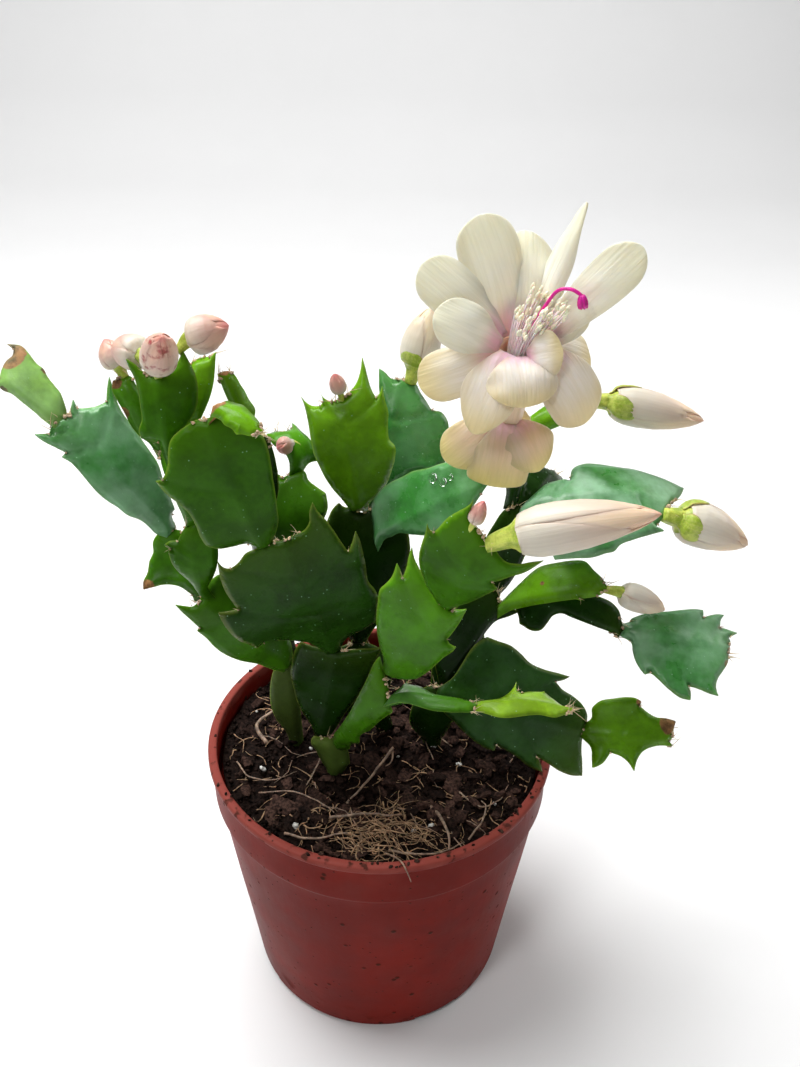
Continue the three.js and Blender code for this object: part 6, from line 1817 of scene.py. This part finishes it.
# --- Stage ------------------------------------------------------------------------------------------


def area_light(name, place, target, size, power):
    lamp = bpy.data.lights.new(name, "AREA")
    lamp.shape, lamp.size, lamp.energy = "DISK", size, power
    light = bpy.data.objects.new(name, lamp)
    light.location = place
    light.rotation_euler = (Vector(target) - Vector(place)).to_track_quat("-Z", "Y").to_euler()
    bpy.context.scene.collection.objects.link(light)


def lay_floor(stage):
    """A sheet of paper that curves up behind the pot."""
    points = [(x, y, z) for y, z in FLOOR_SECTION for x in (-FLOOR_SIDE, FLOOR_SIDE)]
    faces = grid_faces(len(FLOOR_SECTION), 2)
    mesh = bpy.data.meshes.new("studio_floor")
    mesh.from_pydata(points, [], faces)
    mesh.shade_smooth()

    def build(graph, surface):
        hue = tuple(stage.floor)
        graph.feed(surface["Base Color"], graph.mottled(3.0, tinted(hue, 0.985), hue))

    mesh.materials.append(finish("studio_paper", build, Roughness=0.9, Specular_IOR_Level=0.2))
    floor = bpy.data.objects.new("studio_floor", mesh)
    bpy.context.scene.collection.objects.link(floor)


def hang_lights(stage):
    """The even light of the sky, and the lamps."""
    scene = bpy.context.scene
    world = bpy.data.worlds.new("studio")
    world.use_nodes = True
    sky = world.node_tree.nodes["Background"]
    sky.inputs["Color"].default_value = (1.0, 1.0, 1.0, 1)
    sky.inputs["Strength"].default_value = stage.sky
    scene.world = world
    for name, place, size, share in LIGHTS:
        area_light(name, place, LIGHTS_AIM, size, stage.key * share)


def set_camera():
    """The camera that took the photograph."""
    forward = np.array((0, math.cos(CAMERA_PITCH), -math.sin(CAMERA_PITCH)))
    level = np.array((1.0, 0, 0))
    upright = np.cross(level, forward)
    right = math.cos(CAMERA_ROLL) * level + math.sin(CAMERA_ROLL) * upright
    up = -math.sin(CAMERA_ROLL) * level + math.cos(CAMERA_ROLL) * upright
    lens = bpy.data.cameras.new("camera")
    lens.lens, lens.sensor_width, lens.clip_start = CAMERA_LENS, 36, 0.01
    camera = bpy.data.objects.new("camera", lens)
    camera.matrix_world = Matrix(np.column_stack([right, up, -forward]).tolist()).to_4x4()
    camera.location = Vector(CAMERA_AT) * MM
    bpy.context.scene.collection.objects.link(camera)
    bpy.context.scene.camera = camera


def build_stage():
    scene = bpy.context.scene
    lay_floor(scene.cactus_stage)
    hang_lights(scene.cactus_stage)
    set_camera()
    scene.view_settings.view_transform = "Standard"


# --- Operators, panel and registration --------------------------------------------------------------


class CACTUS_OT_stage(bpy.types.Operator):
    """Lay the floor, hang the lights and set the camera"""
    bl_idname = "cactus.stage"
    bl_label = "Stage"
    bl_options = {"REGISTER", "UNDO"}

    def execute(self, context):
        build_stage()
        return {"FINISHED"}


class CACTUS_OT_pot(bpy.types.Operator):
    """Mould the pot, with its rim, drain holes and foot"""
    bl_idname = "cactus.pot"
    bl_label = "Pot"
    bl_options = {"REGISTER", "UNDO"}

    def execute(self, context):
        build_pot()
        return {"FINISHED"}


class CACTUS_OT_soil(bpy.types.Operator):
    """Fill the pot with peat"""
    bl_idname = "cactus.soil"
    bl_label = "Soil"
    bl_options = {"REGISTER", "UNDO"}

    def execute(self, context):
        build_soil()
        return {"FINISHED"}


class CACTUS_OT_litter(bpy.types.Operator):
    """Scatter crumbs, bark, fibres, roots and perlite"""
    bl_idname = "cactus.litter"
    bl_label = "Litter"
    bl_options = {"REGISTER", "UNDO"}

    def execute(self, context):
        build_litter()
        return {"FINISHED"}


class CACTUS_OT_segments(bpy.types.Operator):
    """Grow every segment of the plant"""
    bl_idname = "cactus.segments"
    bl_label = "Segments"
    bl_options = {"REGISTER", "UNDO"}

    def execute(self, context):
        build_segments()
        return {"FINISHED"}


class CACTUS_OT_areoles(bpy.types.Operator):
    """Set felt and bristles on the segments"""
    bl_idname = "cactus.areoles"
    bl_label = "Areoles"
    bl_options = {"REGISTER", "UNDO"}

    def execute(self, context):
        build_areoles()
        return {"FINISHED"}


class CACTUS_OT_buds(bpy.types.Operator):
    """Grow the buds"""
    bl_idname = "cactus.buds"
    bl_label = "Buds"
    bl_options = {"REGISTER", "UNDO"}

    def execute(self, context):
        build_buds()
        return {"FINISHED"}


class CACTUS_OT_flower(bpy.types.Operator):
    """Open the flower: its tube and tepals"""
    bl_idname = "cactus.flower"
    bl_label = "Flower"
    bl_options = {"REGISTER", "UNDO"}

    def execute(self, context):
        build_flower()
        return {"FINISHED"}


class CACTUS_OT_brush(bpy.types.Operator):
    """Fill the flower's throat with stamens and the style"""
    bl_idname = "cactus.brush"
    bl_label = "Stamens and style"
    bl_options = {"REGISTER", "UNDO"}

    def execute(self, context):
        build_brush()
        return {"FINISHED"}


class CACTUS_OT_drops(bpy.types.Operator):
    """Lay three drops of water"""
    bl_idname = "cactus.drops"
    bl_label = "Water drops"
    bl_options = {"REGISTER", "UNDO"}

    def execute(self, context):
        build_drops()
        return {"FINISHED"}


OPERATORS = (
    CACTUS_OT_stage, CACTUS_OT_pot, CACTUS_OT_soil, CACTUS_OT_litter, CACTUS_OT_segments,
    CACTUS_OT_areoles, CACTUS_OT_buds, CACTUS_OT_flower, CACTUS_OT_brush, CACTUS_OT_drops,
)
SETTINGS = {
    "cactus_pot": PotSettings, "cactus_soil": SoilSettings, "cactus_plant": PlantSettings,
    "cactus_flower": FlowerSettings, "cactus_stage": StageSettings,
}


class CACTUS_PT_panel(bpy.types.Panel):
    """Lists the builders and their settings"""
    bl_label = "Potted cactus"
    bl_space_type = "VIEW_3D"
    bl_region_type = "UI"
    bl_category = "Cactus"

    def draw(self, context):
        for made in OPERATORS:
            self.layout.operator(made.bl_idname)
        for name, group in SETTINGS.items():
            box = self.layout.box()
            for key in group.__annotations__:
                box.prop(getattr(context.scene, name), key)


def register():
    for kind in (*SETTINGS.values(), *OPERATORS, CACTUS_PT_panel):
        bpy.utils.register_class(kind)
    for name, group in SETTINGS.items():
        setattr(bpy.types.Scene, name, PointerProperty(type=group))


def unregister():
    for name in SETTINGS:
        delattr(bpy.types.Scene, name)
    for kind in reversed((*SETTINGS.values(), *OPERATORS, CACTUS_PT_panel)):
        bpy.utils.unregister_class(kind)


def main():
    register()
    for made in OPERATORS:
        getattr(bpy.ops.cactus, made.bl_idname.split(".")[1])()


if __name__ == "__main__":
    main()
